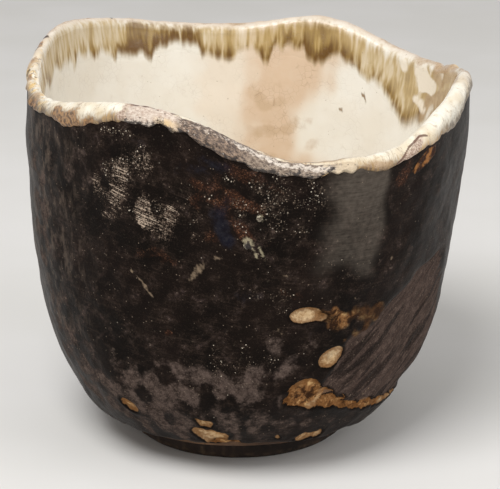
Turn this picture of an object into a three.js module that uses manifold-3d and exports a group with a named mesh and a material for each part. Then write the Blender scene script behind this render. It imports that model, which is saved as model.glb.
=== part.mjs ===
// A hand-shaped black tea bowl with a cream lip and a cream inside.
// Millimetres, +Z up. The bowl stands on its foot ring, and the floor is at z = 0.
// Turns are measured in degrees from +X towards +Y, seen from above.

import * as THREE from 'three';
import { mergeVertices } from 'three/addons/utils/BufferGeometryUtils.js';
import Module from 'manifold-3d';

const wasm = await Module();
wasm.setup();

// Sizes of the whole bowl
const lipWidth = 112; // outside, the mean of all directions
const lipHeight = 90; // crest above the floor, the mean all round
const lipThickness = 4.6; // with its glaze, outside to inside
const wallThickness = 6; // half way up
const heelThickness = 9.5; // low down, where the wall turns into the floor
const floorThickness = 8.5; // underside to the middle of the inside floor
const poolWidth = 48; // the nearly level middle of the inside floor
const poolDip = 1.2; // how far its middle lies below its edge

// Foot ring, cut a little off the bowl's middle
const footWidth = 54;
const footHeight = 7;
const footBreadth = 6.5;
const footChamfer = 0.8;
const footShift = { x: -2.9, y: -0.6 };
const shelfBreadth = 9; // level underside between the foot ring and the wall

// Glaze
const glazeThickness = 0.8;
const seam = 0.3; // gap between neighbouring solids
const bareEdge = 1.5; // clay left without glaze along the wall's lower edge

// Form of the outside wall between its lower edge and the lip:
// at each share of the way up, the share of the way out
const wallForm = [
  { up: 0.085, out: 0.275 },
  { up: 0.22, out: 0.545 },
  { up: 0.47, out: 0.775 },
  { up: 0.76, out: 0.905 },
];
const insideForm = [3, 2, 1]; // the points of wallForm that the inside repeats, going down

// Hills and dips of the lip, above or below its mean height
const lipHills = [
  { turn: -8, value: 0.5 },
  { turn: 37, value: -5.2 },
  { turn: 73, value: 2.4 },
  { turn: 95, value: -0.6 },
  { turn: 150, value: 5.9 },
  { turn: 200, value: -1.8 },
  { turn: 245, value: 3.3 },
  { turn: 285, value: -7.7 },
];
const hillsStart = 28; // height above the underside where the hills begin to show

// How far the lip is pressed out of round: lobes, depth at the lip, and the turn of one lobe
const presses = [
  { lobes: 2, depth: 0.96, turn: 90 },
  { lobes: 3, depth: 1.33, turn: 36.6 },
  { lobes: 4, depth: 0.85, turn: 32.5 },
];

// Flats pared off the outside with a spatula
const parings = [
  { turn: 205, rise: 12, halfTurn: 20, halfHeight: 12, depth: 0.8 },
  { turn: 318, rise: 30, halfTurn: 24, halfHeight: 22, depth: 0.9 },
];

// Lower edge of the lip glaze outside, measured from the crest along the surface
const lipSkirt = [
  { turn: 20, value: 6 },
  { turn: 110, value: 5 },
  { turn: 195, value: 5 },
  { turn: 222, value: 7.5 },
  { turn: 262, value: 4 },
  { turn: 290, value: 4 },
  { turn: 333, value: 8.5 },
];
const lipInside = 4.5; // lower edge of the lip glaze inside, from the crest
const greyLip = { from: 243, to: 294 }; // the stretch of lip with grey glaze

// Lower edge of the brown glaze that ran down inside, measured the same way
const brownRuns = [
  { turn: 10, value: 10 },
  { turn: 33, value: 20 },
  { turn: 58, value: 10 },
  { turn: 75, value: 14 },
  { turn: 95, value: 11 },
  { turn: 110, value: 7 },
  { turn: 127, value: 13 },
  { turn: 155, value: 12 },
  { turn: 180, value: 9 },
  { turn: 225, value: 12 },
  { turn: 255, value: 9 },
  { turn: 290, value: 12 },
  { turn: 325, value: 9 },
];

// Marks where the black glaze missed the clay: height above the underside, size and tilt
const bareMarks = [
  { turn: 285.7, rise: 39.4, width: 7.2, height: 3.8, tilt: -4 },
  { turn: 294, rise: 26.6, width: 6, height: 4.2, tilt: 42 },
  { turn: 288.5, rise: 16.5, width: 9, height: 8, tilt: 20 },
  { turn: 259.5, rise: 6.6, width: 7, height: 4.2, tilt: -38 },
  { turn: 233.5, rise: 10.8, width: 4, height: 2.6, tilt: -35 },
];

// Stones in the clay that burst through the black glaze, below the lip's mean height
const stones = [
  { name: 'burst_stone', turn: 270.5, below: 23, width: 3.4, height: 3.8 },
  { name: 'small_stone', turn: 272.5, below: 15.5, width: 1.8, height: 2.2 },
];
const stoneProud = 0.5; // how far a stone stands out of the glaze

// Facets
const levelFrom = 32; // below this distance from the crest the rings of points run level
const turnSteps = 60;
const markSides = 14;

// Outline of the glazed surface: up the outside, over the lip and down the inside
const lipRadius = lipWidth / 2;
const edgeRadius = footWidth / 2 + shelfBreadth;
const lipRound = lipThickness / 2;
const lipStart = new THREE.Vector2(lipRadius, lipHeight - lipRound);
const wallRise = lipStart.y - footHeight;
const insideFloor = footHeight + floorThickness;

const formPoint = ({ up, out }) => new THREE.Vector2(
  THREE.MathUtils.lerp(edgeRadius, lipRadius, out),
  footHeight + wallRise * up,
);
const outsideCurve = new THREE.SplineCurve([
  new THREE.Vector2(edgeRadius, footHeight),
  ...wallForm.map(formPoint),
  lipStart,
]);
const lipCurve = new THREE.EllipseCurve(
  lipRadius - lipRound, lipStart.y, lipRound, lipRound, 0, Math.PI,
);
const insideThickness = [(lipThickness + wallThickness) / 2, wallThickness, heelThickness];
const insideCurve = new THREE.SplineCurve([
  new THREE.Vector2(lipRadius - lipThickness, lipStart.y),
  ...insideForm.map((index, i) => {
    const outside = formPoint(wallForm[index]);
    return new THREE.Vector2(outside.x - insideThickness[i], outside.y);
  }),
  new THREE.Vector2(poolWidth / 2, insideFloor + poolDip),
  new THREE.Vector2(0, insideFloor),
]);

const surface = new THREE.CurvePath();
surface.add(outsideCurve);
surface.add(lipCurve);
surface.add(insideCurve);
const surfaceLength = surface.getLength();
const crestPlace = outsideCurve.getLength() + lipCurve.getLength() / 2;
const lowerEdge = -crestPlace;
const floorMiddle = surfaceLength - crestPlace;

// A point of the outline, so far from the crest along the surface and so deep in the clay.
// Distances are negative outside the bowl and positive inside it.
function outlinePoint(fromCrest, depth) {
  const share = (crestPlace + fromCrest) / surfaceLength;
  const point = surface.getPoint(share);
  const along = surface.getTangent(share);
  return new THREE.Vector2(point.x - along.y * depth, point.y + along.x * depth);
}

// Distance from the crest of the point of the outside wall at one height
function placeAtHeight(height) {
  let low = lowerEdge;
  let high = 0;
  while (high - low > seam / 10) {
    const middle = (low + high) / 2;
    if (outlinePoint(middle, 0).y < height) low = middle;
    else high = middle;
  }
  return low;
}

// A value that eases from one named point to the next all the way round
function around(points) {
  const first = points[0];
  const ring = [...points, { turn: first.turn + 360, value: first.value }];
  return (turn) => {
    const wrapped = first.turn + THREE.MathUtils.euclideanModulo(turn - first.turn, 360);
    const next = ring.findIndex((point) => point.turn > wrapped);
    const a = ring[next - 1];
    const b = ring[next];
    const share = (wrapped - a.turn) / (b.turn - a.turn);
    return THREE.MathUtils.lerp(a.value, b.value, (1 - Math.cos(Math.PI * share)) / 2);
  };
}

const lipHill = around(lipHills);
const skirtEdge = around(lipSkirt);
const brownEdge = around(brownRuns);

function bump(distance, halfWidth) {
  const share = Math.min(1, Math.abs(distance) / halfWidth);
  return (1 + Math.cos(Math.PI * share)) / 2;
}

function angleBetween(a, b) {
  return THREE.MathUtils.euclideanModulo(a - b + 180, 360) - 180;
}

// Presses a turned point by hand: out of round, up and down the hills, and pared outside
function pressed(point, turn, isOutside) {
  const height = point.y - footHeight;
  const share = THREE.MathUtils.clamp(height / (lipHeight - footHeight), 0, 1);
  let outOfRound = 0;
  for (const { lobes, depth, turn: lobeTurn } of presses) {
    outOfRound += depth * Math.cos(lobes * THREE.MathUtils.degToRad(turn - lobeTurn));
  }
  let pared = 0;
  for (const paring of isOutside ? parings : []) {
    const sideways = bump(angleBetween(turn, paring.turn), paring.halfTurn);
    pared += paring.depth * sideways * bump(height - paring.rise, paring.halfHeight);
  }
  const radius = point.x * (1 + share * outOfRound / lipRadius) - pared;
  const angle = THREE.MathUtils.degToRad(turn);
  const hillShare = THREE.MathUtils.smoothstep(height, hillsStart, lipHeight - footHeight);
  return new THREE.Vector3(
    radius * Math.cos(angle) + footShift.x * (1 - share),
    radius * Math.sin(angle) + footShift.y * (1 - share),
    point.y + lipHill(turn) * hillShare,
  );
}

// Turns a closed outline that may change on the way round, then presses every point by hand.
// An outline runs up the outside and down the inside, and its points may be marked outside.
function turnedAndPressed(outlineAt) {
  const geometry = new THREE.LatheGeometry(outlineAt(0).map((entry) => entry.point), turnSteps);
  const position = geometry.attributes.position;
  for (let step = 0; step <= turnSteps; step += 1) {
    const turn = (step % turnSteps) * 360 / turnSteps;
    const outline = outlineAt(turn);
    outline.forEach(({ point, isOutside }, i) => {
      const place = pressed(point, turn, isOutside);
      position.setXYZ(step * outline.length + i, place.x, place.y, place.z);
    });
  }
  return closedGeometry(geometry);
}

// Joins the vertices that share a place, so that the mesh is closed
function closedGeometry(geometry) {
  geometry.deleteAttribute('normal');
  geometry.deleteAttribute('uv');
  const merged = mergeVertices(geometry);
  merged.computeVertexNormals();
  return merged;
}

// Distances from the crest in equal steps
function spaced(from, to, steps) {
  return Array.from({ length: steps + 1 }, (_, i) => THREE.MathUtils.lerp(from, to, i / steps));
}

// Points along the surface at these distances from the crest, all at one depth
function faceAt(places, depth) {
  return places.map((place) => ({ point: outlinePoint(place, depth), isOutside: place < 0 }));
}

function closed(outline) {
  return [...outline, outline[0]];
}

// Ends an outline exactly on the bowl's middle line
function onAxis(outline) {
  outline[0].point.x = 0;
  outline[outline.length - 1].point.x = 0;
  return outline;
}

// The coats of glaze, going up the outside, over the lip and down the inside:
// the distances from the crest of their points, at one turn
const coats = {
  black: (turn) => [
    ...spaced(lowerEdge + bareEdge, -levelFrom, 7),
    ...spaced(-levelFrom, -skirtEdge(turn) - seam, 2).slice(1),
  ],
  lip: (turn) => spaced(-skirtEdge(turn), lipInside, 9),
  brown: (turn) => spaced(lipInside + seam, brownEdge(turn), 3),
  cream: (turn) => [
    ...spaced(brownEdge(turn) + seam, levelFrom, 3),
    ...spaced(levelFrom, floorMiddle, 8).slice(1),
  ],
};

// A coat of glaze with a front on the surface and a back on the clay's side
function glazeCoat(coat) {
  return turnedAndPressed((turn) => closed([
    ...faceAt(coat(turn), 0),
    ...faceAt(coat(turn), glazeThickness).reverse(),
  ]));
}

// Solids for cutting and joining
function toSolid(geometry) {
  const plain = geometry.clone();
  plain.deleteAttribute('normal');
  plain.deleteAttribute('uv');
  const merged = mergeVertices(plain);
  return new wasm.Manifold(new wasm.Mesh({
    numProp: 3,
    vertProperties: new Float32Array(merged.attributes.position.array),
    triVerts: new Uint32Array(merged.index.array),
  }));
}

function toGeometry(solid) {
  const mesh = solid.getMesh();
  const geometry = new THREE.BufferGeometry();
  geometry.setAttribute('position', new THREE.BufferAttribute(mesh.vertProperties, 3));
  geometry.setIndex(new THREE.BufferAttribute(mesh.triVerts, 1));
  geometry.computeVertexNormals();
  return geometry;
}

// A frame on the outside wall: X along the turn, Y up the wall and Z out of the clay
function wallFrame(turn, fromCrest, tilt) {
  const here = outlinePoint(fromCrest, 0);
  const step = seam;
  const above = outlinePoint(fromCrest + step, 0);
  const place = pressed(here, turn, true);
  const sideways = pressed(here, turn + step, true).sub(place).normalize();
  const up = pressed(above, turn, true).sub(place).normalize();
  const out = new THREE.Vector3().crossVectors(sideways, up).normalize();
  up.crossVectors(out, sideways);
  return new THREE.Matrix4()
    .makeBasis(sideways, up, out)
    .setPosition(place)
    .multiply(new THREE.Matrix4().makeRotationZ(THREE.MathUtils.degToRad(tilt)));
}

// An oval plug through the glaze, standing square to the wall
function wallPlug(frame, width, height, lowest, highest) {
  const plug = new THREE.CylinderGeometry(0.5, 0.5, highest - lowest, markSides);
  plug.rotateX(Math.PI / 2);
  plug.scale(width, height, 1);
  plug.translate(0, 0, (lowest + highest) / 2);
  return plug.applyMatrix4(frame);
}

// A sector of the lip, tall enough to part it and wide enough to reach past it
function lipSector(from, to) {
  const reach = lipWidth;
  const shape = new THREE.Shape();
  shape.moveTo(0, 0);
  for (const turn of [from, (from + to) / 2, to]) {
    const angle = THREE.MathUtils.degToRad(turn);
    shape.lineTo(reach * Math.cos(angle), reach * Math.sin(angle));
  }
  const sector = new THREE.ExtrudeGeometry(shape, { depth: lipHeight, bevelEnabled: false });
  return sector.translate(0, 0, lipHeight / 2);
}

function solid(name, geometry, color, roughness) {
  const material = new THREE.MeshStandardMaterial({ color, roughness, metalness: 0 });
  const mesh = new THREE.Mesh(geometry, material);
  mesh.name = name;
  return mesh;
}

// Clay body: its outline lies below the coats of glaze and has their own steps
function clayBody() {
  const depth = glazeThickness + seam;
  return turnedAndPressed((turn) => {
    const underCoats = Object.values(coats).map((coat) => coat(turn).slice(1));
    return onAxis([
      { point: new THREE.Vector2(0, footHeight) },
      { point: new THREE.Vector2(edgeRadius - 2 * depth, footHeight) },
      ...faceAt([lowerEdge, lowerEdge + bareEdge, ...underCoats.flat()], depth),
    ]);
  });
}

// Foot ring: a turned ring with chamfered lower edges, just below the underside
function footRing() {
  const outer = footWidth / 2;
  const inner = outer - footBreadth;
  const top = footHeight - seam;
  const outline = [
    [inner + footChamfer, 0],
    [outer - footChamfer, 0],
    [outer, footChamfer],
    [outer, top],
    [inner, top],
    [inner, footChamfer],
  ].map(([x, y]) => ({ point: new THREE.Vector2(x, y) }));
  return turnedAndPressed(() => closed(outline));
}

// Black glaze: from the bare lower edge up to the lip glaze, open at the bare marks and stones
function blackGlaze(stoneFrames) {
  let cut = toSolid(glazeCoat(coats.black));
  const through = 3 * glazeThickness;
  for (const { turn, rise, width, height, tilt } of bareMarks) {
    const frame = wallFrame(turn, placeAtHeight(footHeight + rise), tilt);
    cut = cut.subtract(toSolid(wallPlug(frame, width, height, -through, through)));
  }
  stones.forEach(({ width, height }, i) => {
    const room = 2 * seam;
    const plug = wallPlug(stoneFrames[i], width + room, height + room, -through, through);
    cut = cut.subtract(toSolid(plug));
  });
  return toGeometry(cut);
}

// Stone: an oval grain that sits on the clay in its hole and stands a little proud
function stoneGrain(frame, { width, height }) {
  return wallPlug(frame, width, height, -glazeThickness, stoneProud);
}

const stoneFrames = stones.map(({ turn, below }) => (
  wallFrame(turn, placeAtHeight(lipHeight - below), 0)
));

// Lip glaze: one roll over the lip, parted into a cream stretch and a grey one
const lipRoll = toSolid(glazeCoat(coats.lip));
const seamTurn = THREE.MathUtils.radToDeg(seam / lipRadius) / 2;
const greySector = toSolid(lipSector(greyLip.from + seamTurn, greyLip.to - seamTurn));
const creamGap = toSolid(lipSector(greyLip.from - seamTurn, greyLip.to + seamTurn));

// Cream lining: from the brown runs down to the middle of the inside floor
function creamLining() {
  return turnedAndPressed((turn) => onAxis([
    ...faceAt(coats.cream(turn), glazeThickness).reverse(),
    ...faceAt(coats.cream(turn), 0),
  ]));
}

const bowl = new THREE.Group();
bowl.add(
  solid('clay_body', clayBody(), '#b08e6c', 0.85),
  solid('foot_ring', footRing(), '#4a3a30', 0.85),
  solid('black_glaze', blackGlaze(stoneFrames), '#17120f', 0.35),
  solid('cream_lip_glaze', toGeometry(lipRoll.subtract(creamGap)), '#e6d9be', 0.25),
  solid('grey_lip_glaze', toGeometry(lipRoll.intersect(greySector)), '#8f8683', 0.4),
  solid('brown_run_glaze', glazeCoat(coats.brown), '#7d6a3f', 0.25),
  solid('cream_lining', creamLining(), '#efe6d6', 0.25),
  ...stones.map((stone, i) => (
    solid(stone.name, stoneGrain(stoneFrames[i], stone), '#c9b9a2', 0.7)
  )),
);

// The origin lies on the floor under the middle of the bowl's box
const box = new THREE.Box3().setFromObject(bowl);
const middle = box.getCenter(new THREE.Vector3());
bowl.position.set(-middle.x, -middle.y, 0);

export default bowl;
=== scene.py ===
# %% [markdown]
# # A hand-shaped black tea bowl
#
# The bowl is half a cylinder, pressed and pared by hand, with a wavy lip. Its coats are a near-black
# glaze outside, a cream glaze over the lip and inside, a brown glaze that ran down from the lip, and
# a grey crust on the near part of the lip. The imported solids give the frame: sizes, places and
# pieces. The scene models each piece again with finer form and a worked finish.

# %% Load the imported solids
import math
from contextlib import contextmanager

import bpy
import numpy as np
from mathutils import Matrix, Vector


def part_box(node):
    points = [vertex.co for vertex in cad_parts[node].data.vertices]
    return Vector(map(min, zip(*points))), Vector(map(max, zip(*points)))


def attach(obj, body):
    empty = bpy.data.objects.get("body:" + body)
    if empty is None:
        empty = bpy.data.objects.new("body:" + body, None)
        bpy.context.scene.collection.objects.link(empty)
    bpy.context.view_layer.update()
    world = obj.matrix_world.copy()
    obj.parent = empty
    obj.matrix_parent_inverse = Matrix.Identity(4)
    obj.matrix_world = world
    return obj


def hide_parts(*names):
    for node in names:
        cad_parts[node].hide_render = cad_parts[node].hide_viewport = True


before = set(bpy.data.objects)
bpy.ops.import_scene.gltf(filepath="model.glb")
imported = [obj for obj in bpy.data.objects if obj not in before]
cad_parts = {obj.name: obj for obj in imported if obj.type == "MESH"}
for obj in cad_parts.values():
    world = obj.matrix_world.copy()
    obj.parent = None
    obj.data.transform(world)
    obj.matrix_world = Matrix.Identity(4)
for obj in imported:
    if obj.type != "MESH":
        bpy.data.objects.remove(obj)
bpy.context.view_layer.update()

print("Solids:", sorted(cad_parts))

# %% [markdown]
# ## Sizes
#
# These are the driving sizes of the solids, in millimetres, written down once more. Everything is
# worked out in millimetres and turned into metres when it becomes a mesh.

# %% Sizes of the bowl
MM = 0.001
LIP_WIDTH, LIP_HEIGHT, LIP_THICKNESS = 112.0, 90.0, 4.6
WALL_THICKNESS, HEEL_THICKNESS, FLOOR_THICKNESS = 6.0, 9.5, 8.5
POOL_WIDTH, POOL_DIP = 48.0, 1.2
FOOT_WIDTH, FOOT_HEIGHT, FOOT_BREADTH = 54.0, 7.0, 6.5
FOOT_SHIFT = (-2.9, -0.6)
SHELF_BREADTH = 9.0
COAT = 0.8
CLAY_DEPTH = 1.1
LIP_INSIDE = 4.5

LIP_RADIUS, LIP_ROUND = LIP_WIDTH / 2, LIP_THICKNESS / 2
LIP_START = LIP_HEIGHT - LIP_ROUND
EDGE_RADIUS = FOOT_WIDTH / 2 + SHELF_BREADTH
INSIDE_FLOOR = FOOT_HEIGHT + FLOOR_THICKNESS
WALL_FORM = [(0.085, 0.275), (0.22, 0.545), (0.47, 0.775), (0.76, 0.905)]

foot_low, foot_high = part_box("foot_ring")
SHIFT = [(foot_low[i] + foot_high[i]) / 2 / MM - FOOT_SHIFT[i] for i in range(2)]
print("Turning axis at", [round(s, 3) for s in SHIFT], "mm")

# %% [markdown]
# ## One outline for every coat
#
# A thrown bowl has one outline, and each coat of glaze is a stretch of it. So the outline is drawn
# once, as a smooth curve through a few points: up the outside, round the lip and down the inside.
# A place on it is told by its distance from the crest of the lip, negative outside and positive
# inside, and by how deep it lies in the clay.

# %% Outline
def through(points, steps=240):
    """Points of a smooth curve that passes through all of the given ones."""
    padded = np.array([points[0], *points, points[-1]], float)
    curve = []
    for a, b, c, d in zip(padded, padded[1:], padded[2:], padded[3:]):
        t = np.linspace(0, 1, steps, endpoint=False)[:, None]
        bend = 2 * a - 5 * b + 4 * c - d + t * (3 * (b - c) + d - a)
        curve.append(b + 0.5 * t * (c - a + t * bend))
    return np.vstack([*curve, padded[-1:]])


wall_points = [
    (EDGE_RADIUS + (LIP_RADIUS - EDGE_RADIUS) * out, FOOT_HEIGHT + (LIP_START - FOOT_HEIGHT) * up)
    for up, out in WALL_FORM
]
outside = through([(EDGE_RADIUS, FOOT_HEIGHT), *wall_points, (LIP_RADIUS, LIP_START)])
lip_turn = np.linspace(0, math.pi, 241)[1:-1, None]
lip = np.hstack([np.cos(lip_turn), np.sin(lip_turn)]) * LIP_ROUND + (LIP_RADIUS - LIP_ROUND, LIP_START)
walls = [(LIP_THICKNESS + WALL_THICKNESS) / 2, WALL_THICKNESS, HEEL_THICKNESS]
inside = through([
    (LIP_RADIUS - LIP_THICKNESS, LIP_START),
    *[(x - wall, z) for (x, z), wall in zip(wall_points[:0:-1], walls)],
    (POOL_WIDTH / 2, INSIDE_FLOOR + POOL_DIP),
    (0, INSIDE_FLOOR),
])
outline = np.vstack([outside, lip, inside])
distance = np.concatenate([[0], np.cumsum(np.hypot(*np.diff(outline, axis=0).T))])
distance -= distance[np.argmax(outline[:, 1])]
direction = np.gradient(outline, distance, axis=0)
LOWER_EDGE, FLOOR_MIDDLE = distance[0], distance[-1]


def outline_at(place, depth=0.0):
    """Radius and height of a place on the outline, so deep in the clay."""
    x, z = (np.interp(place, distance, outline[:, i]) for i in range(2))
    dx, dz = (np.interp(place, distance, direction[:, i]) for i in range(2))
    return x - dz * depth, z + dx * depth


print("Outline from", round(LOWER_EDGE, 1), "to", round(FLOOR_MIDDLE, 1), "mm from the crest")

# %% [markdown]
# ## Pressed by hand
#
# The potter pressed the turned bowl out of round, lifted and lowered its lip and pared flats off its
# wall. One function does that to every point, whatever coat it is on, so neighbouring coats stay
# together. Two small lists make the lip slimmer and lower in places than the plain outline has it.
# Turns are degrees from +X towards +Y, and the photograph looks at turn 270.

# %% Pressing
LIP_HILLS = [(-8, 0.5), (37, -5.2), (73, 2.4), (95, -0.6), (150, 5.9), (200, -1.8), (245, 3.3), (285, -7.7)]
HILLS_START = 28.0
PRESSES = [(2, 0.96, 90), (3, 1.33, 36.6), (4, 0.85, 32.5)]
PARINGS = [(205, 12, 20, 12, 0.8), (318, 30, 24, 22, 0.9)]
CORNER = [(27.0, 3.2, -0.9), (20.5, 3.5, 0.7)]
LIP_SLIM = [
    (0, 1), (12, 1.6), (24, 0.8), (40, 0.3), (75, 0.3), (110, 0.5), (140, 1), (165, 1.7), (188, 1.5),
    (205, 0.9), (222, 0.2), (295, 0.2), (306, 0.6), (318, 0.3), (338, 0.2), (350, 0.6),
]
LIP_SETTLE = [
    (8, 0.5), (18, 1), (27, 0.2), (50, 0.2), (75, 0.5), (100, 0.2), (125, 0.6), (140, 0.8), (165, 0.3),
    (190, 0), (240, 0), (250, 0.4), (270, 0.3), (291, 0.4), (299, 1.1), (307, 1.7), (316, 0.9), (325, 0.1),
    (345, 0),
]


def soft(value, low, high):
    """0 below low, 1 above high, and a smooth slope between."""
    share = np.clip((value - low) / (high - low), 0, 1)
    return share * share * (3 - 2 * share)


def bump(away, half):
    """1 in the middle and 0 from half its width outwards."""
    return (1 + np.cos(np.pi * np.clip(np.abs(away) / half, 0, 1))) / 2


def between(turn, other):
    """Degrees from one turn to another, at most half way round."""
    return (turn - other + 180) % 360 - 180


def eased(points, turn):
    """A value that eases from one named turn to the next, all the way round."""
    turns = np.array([t for t, _ in points] + [points[0][0] + 360.0])
    values = np.array([v for _, v in points] + [points[0][1]])
    wrapped = turns[0] + (turn - turns[0]) % 360
    after = np.clip(np.searchsorted(turns, wrapped, side="right"), 1, len(points))
    share = (wrapped - turns[after - 1]) / (turns[after] - turns[after - 1])
    return values[after - 1] + (values[after] - values[after - 1]) * (1 - np.cos(np.pi * share)) / 2


def pressed(turn, radius, level, outer):
    """The place in metres of a turned point, after the hands have shaped it."""
    height = level - FOOT_HEIGHT
    share = np.clip(height / (LIP_HEIGHT - FOOT_HEIGHT), 0, 1)
    out_of_round = sum(depth * np.cos(np.radians(lobes * (turn - at))) for lobes, depth, at in PRESSES)
    pared = sum(
        depth * bump(between(turn, at), half_turn) * bump(height - rise, half_height)
        for at, rise, half_turn, half_height, depth in PARINGS
    )
    across_lip = np.clip((radius - LIP_RADIUS) / LIP_THICKNESS + 1, 0, 1)
    slim = eased(LIP_SLIM, turn) * across_lip * soft(level, LIP_HEIGHT - 18, LIP_HEIGHT - 2)
    radius = radius * (1 + share * out_of_round / LIP_RADIUS) - pared * outer - slim
    hill = eased(LIP_HILLS, turn) * soft(height, HILLS_START, LIP_HEIGHT - FOOT_HEIGHT)
    hill -= eased(LIP_SETTLE, turn) * soft(level, LIP_HEIGHT - 12, LIP_HEIGHT)
    hill += sum(rise * bump(between(turn, at), half) for at, half, rise in CORNER) * share ** 12
    angle = np.radians(turn)
    return np.stack([
        radius * np.cos(angle) + FOOT_SHIFT[0] * (1 - share) + SHIFT[0],
        radius * np.sin(angle) + FOOT_SHIFT[1] * (1 - share) + SHIFT[1],
        level + hill,
    ], axis=-1) * MM


def waves(turn, place, size, seed, count=26):
    """Soft random relief about 1 high, with lumps about size millimetres across."""
    draw = np.random.default_rng(seed)
    total = np.zeros(np.broadcast(turn, place).shape)
    for _ in range(count):
        heading = draw.uniform(0, 2 * math.pi)
        pull = math.pi / size * draw.uniform(0.7, 1.3)
        round_about = round(pull * math.cos(heading) * LIP_RADIUS)
        start = draw.uniform(0, 2 * math.pi)
        total += np.sin(round_about * np.radians(turn) + pull * math.sin(heading) * place + start)
    return total * math.sqrt(2 / count)


# %% [markdown]
# ## From a ring of points to a coat
#
# A coat of glaze is a thin closed band. It starts as a ring of points, straightened into the section
# of the coat: its height says how far along the coat a point is, and its distance from the axis says
# whether it is on the front or the back. A Screw modifier turns the section into a plain tube, far
# quicker than the spin tool does for so many steps. Each point of the tube is then laid on the
# outline and pressed, which is more even than bending a modelled band, and leaves the wanted
# fineness on the front only.

# %% Selecting, editing and naming
def only(piece):
    """Selects one object and nothing else."""
    bpy.ops.object.select_all(action="DESELECT")
    piece.select_set(True)
    bpy.context.view_layer.objects.active = piece


@contextmanager
def edit_mode(piece, select="SELECT"):
    """Edit mode on one piece, with all of it selected, nothing, or what was selected before."""
    only(piece)
    bpy.ops.object.mode_set(mode="EDIT")
    if select:
        bpy.ops.mesh.select_all(action=select)
    yield
    bpy.ops.object.mode_set(mode="OBJECT")


def made(name):
    """The primitive that was just added, under its own name."""
    piece = bpy.context.object
    piece.name = piece.data.name = name
    return piece


# %% Spinning a section
TUBE = 1.0


def ring_of(name, count):
    """A circle of points, from which a section is laid out."""
    bpy.ops.object.select_all(action="DESELECT")
    bpy.ops.mesh.primitive_circle_add(vertices=count, radius=TUBE / 10, location=(0, 0, 0))
    return made(name)


def turned(piece, steps, arc=360.0):
    """Turns a section round the axis, as on a wheel, and joins its two ends."""
    only(piece)
    wheel = piece.modifiers.new("Wheel", "SCREW")
    wheel.angle, wheel.steps, wheel.render_steps = math.radians(arc), steps, steps
    wheel.use_merge_vertices, wheel.merge_threshold = True, TUBE / 10000
    bpy.ops.object.modifier_apply(modifier=wheel.name)


def spun_band(name, front, back, turns, arc=360.0, start=0.0):
    """A tube with front rings outside and back rings inside, as a closed band."""
    piece = ring_of(name, front + back)
    section = [(TUBE, i / (front - 1)) for i in range(front)]
    section += [(TUBE / 2, 1 - i / (back - 1)) for i in range(back)]
    angle = math.radians(start)
    for vertex, (x, z) in zip(piece.data.vertices, section):
        vertex.co = (x * math.cos(angle), x * math.sin(angle), z)
    turned(piece, turns, arc)
    return piece


# %% Numbers on the points
def places_of(piece):
    """Turn, share of the way along, and 1 on the back or 0 on the front, of each point of a tube."""
    co = np.empty(len(piece.data.vertices) * 3)
    piece.data.vertices.foreach_get("co", co)
    x, y, z = co.reshape(-1, 3).T
    turn = np.degrees(np.arctan2(y, x)) % 360
    return turn, np.clip(z, 0, 1), np.where(np.hypot(x, y) > TUBE * 0.75, 0.0, 1.0)


def keep(piece, **values):
    """Stores one number per point, for the finish to read."""
    for name, value in values.items():
        attribute = piece.data.attributes.get(name) or piece.data.attributes.new(name, "FLOAT", "POINT")
        attribute.data.foreach_set("value", np.asarray(value, np.float32).ravel())


def kept(piece, *names):
    """Reads stored numbers back."""
    values = np.empty((len(names), len(piece.data.vertices)), np.float32)
    for name, value in zip(names, values):
        piece.data.attributes[name].data.foreach_get("value", value)
    return values.astype(float)


# %% Laying a coat on the bowl
DOUBLES = MM / 1000


def put(piece, spots):
    """Moves the points of a piece to these places."""
    piece.data.vertices.foreach_set("co", spots.astype(np.float32).ravel())
    piece.data.update()


def reached(share, low, high):
    """Places and levels of points that are this share of the way from one edge to another."""
    place = low + share * (high - low)
    return place, outline_at(place)[1]


def laid(piece, turn, place, back, under, over):
    """Lays a tube on the bowl, its back so deep under the outline and its front so high over it."""
    radius, level = outline_at(place, np.where(back > 0, under, -over))
    radius = np.where(place > FLOOR_MIDDLE - 0.01, 0, np.maximum(radius, 0))
    put(piece, pressed(turn, radius, level, place < 0))
    keep(piece, turn=turn, place=place, level=level)
    with edit_mode(piece):
        bpy.ops.mesh.remove_doubles(threshold=DOUBLES)
        bpy.ops.mesh.delete_loose()
        bpy.ops.mesh.select_all(action="SELECT")
        bpy.ops.mesh.normals_make_consistent(inside=False)
    bpy.ops.object.shade_smooth()


def finished(piece, slot, *nodes):
    """Hands a piece over to the frame."""
    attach(piece, "root")
    if nodes:
        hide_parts(*nodes)
    low, high = (np.array([piece.bound_box[i][k] for k in range(3)]) / MM for i in (0, 6))
    print(piece.name, len(piece.data.polygons), "faces,", np.round(high - low, 1), "mm")


# %% [markdown]
# ## The relief of the glazed surface
#
# No coat is smooth. Fingers leave slow hollows, the clay is a little lumpy, and the paring tool left
# a cut with a sharp lower ledge on the right and diagonal strokes across it. These are heights above
# the outline, in millimetres, and every coat reads the same ones.

# %% Relief
CUT_LOWER = [(283, 20), (296, 20.5), (302, 19), (310, 16.8), (320, 15), (332, 13.5), (345, 12.5), (359, 13)]
CUT_UPPER = [
    (290, 22), (294, 29), (297, 35.5), (301, 39.5), (308, 44), (316, 49), (324, 51.5), (331, 53), (338, 51),
    (346, 43), (353, 30), (359, 16),
]
CUT_DEPTH, STROKE_DEPTH, STROKE_WIDTH, STROKE_SLOPE = 0.7, 0.07, 3.4, 38.0


def arc_length(turn, level):
    """Millimetres along the wall from turn 270."""
    return np.radians(between(turn, 270)) * (LIP_RADIUS - 8 * (1 - soft(level, 10, 70)))


def along(line, turn):
    """A value read off straight lines from one listed turn to the next."""
    return np.interp(turn % 360, *zip(*line))


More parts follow.
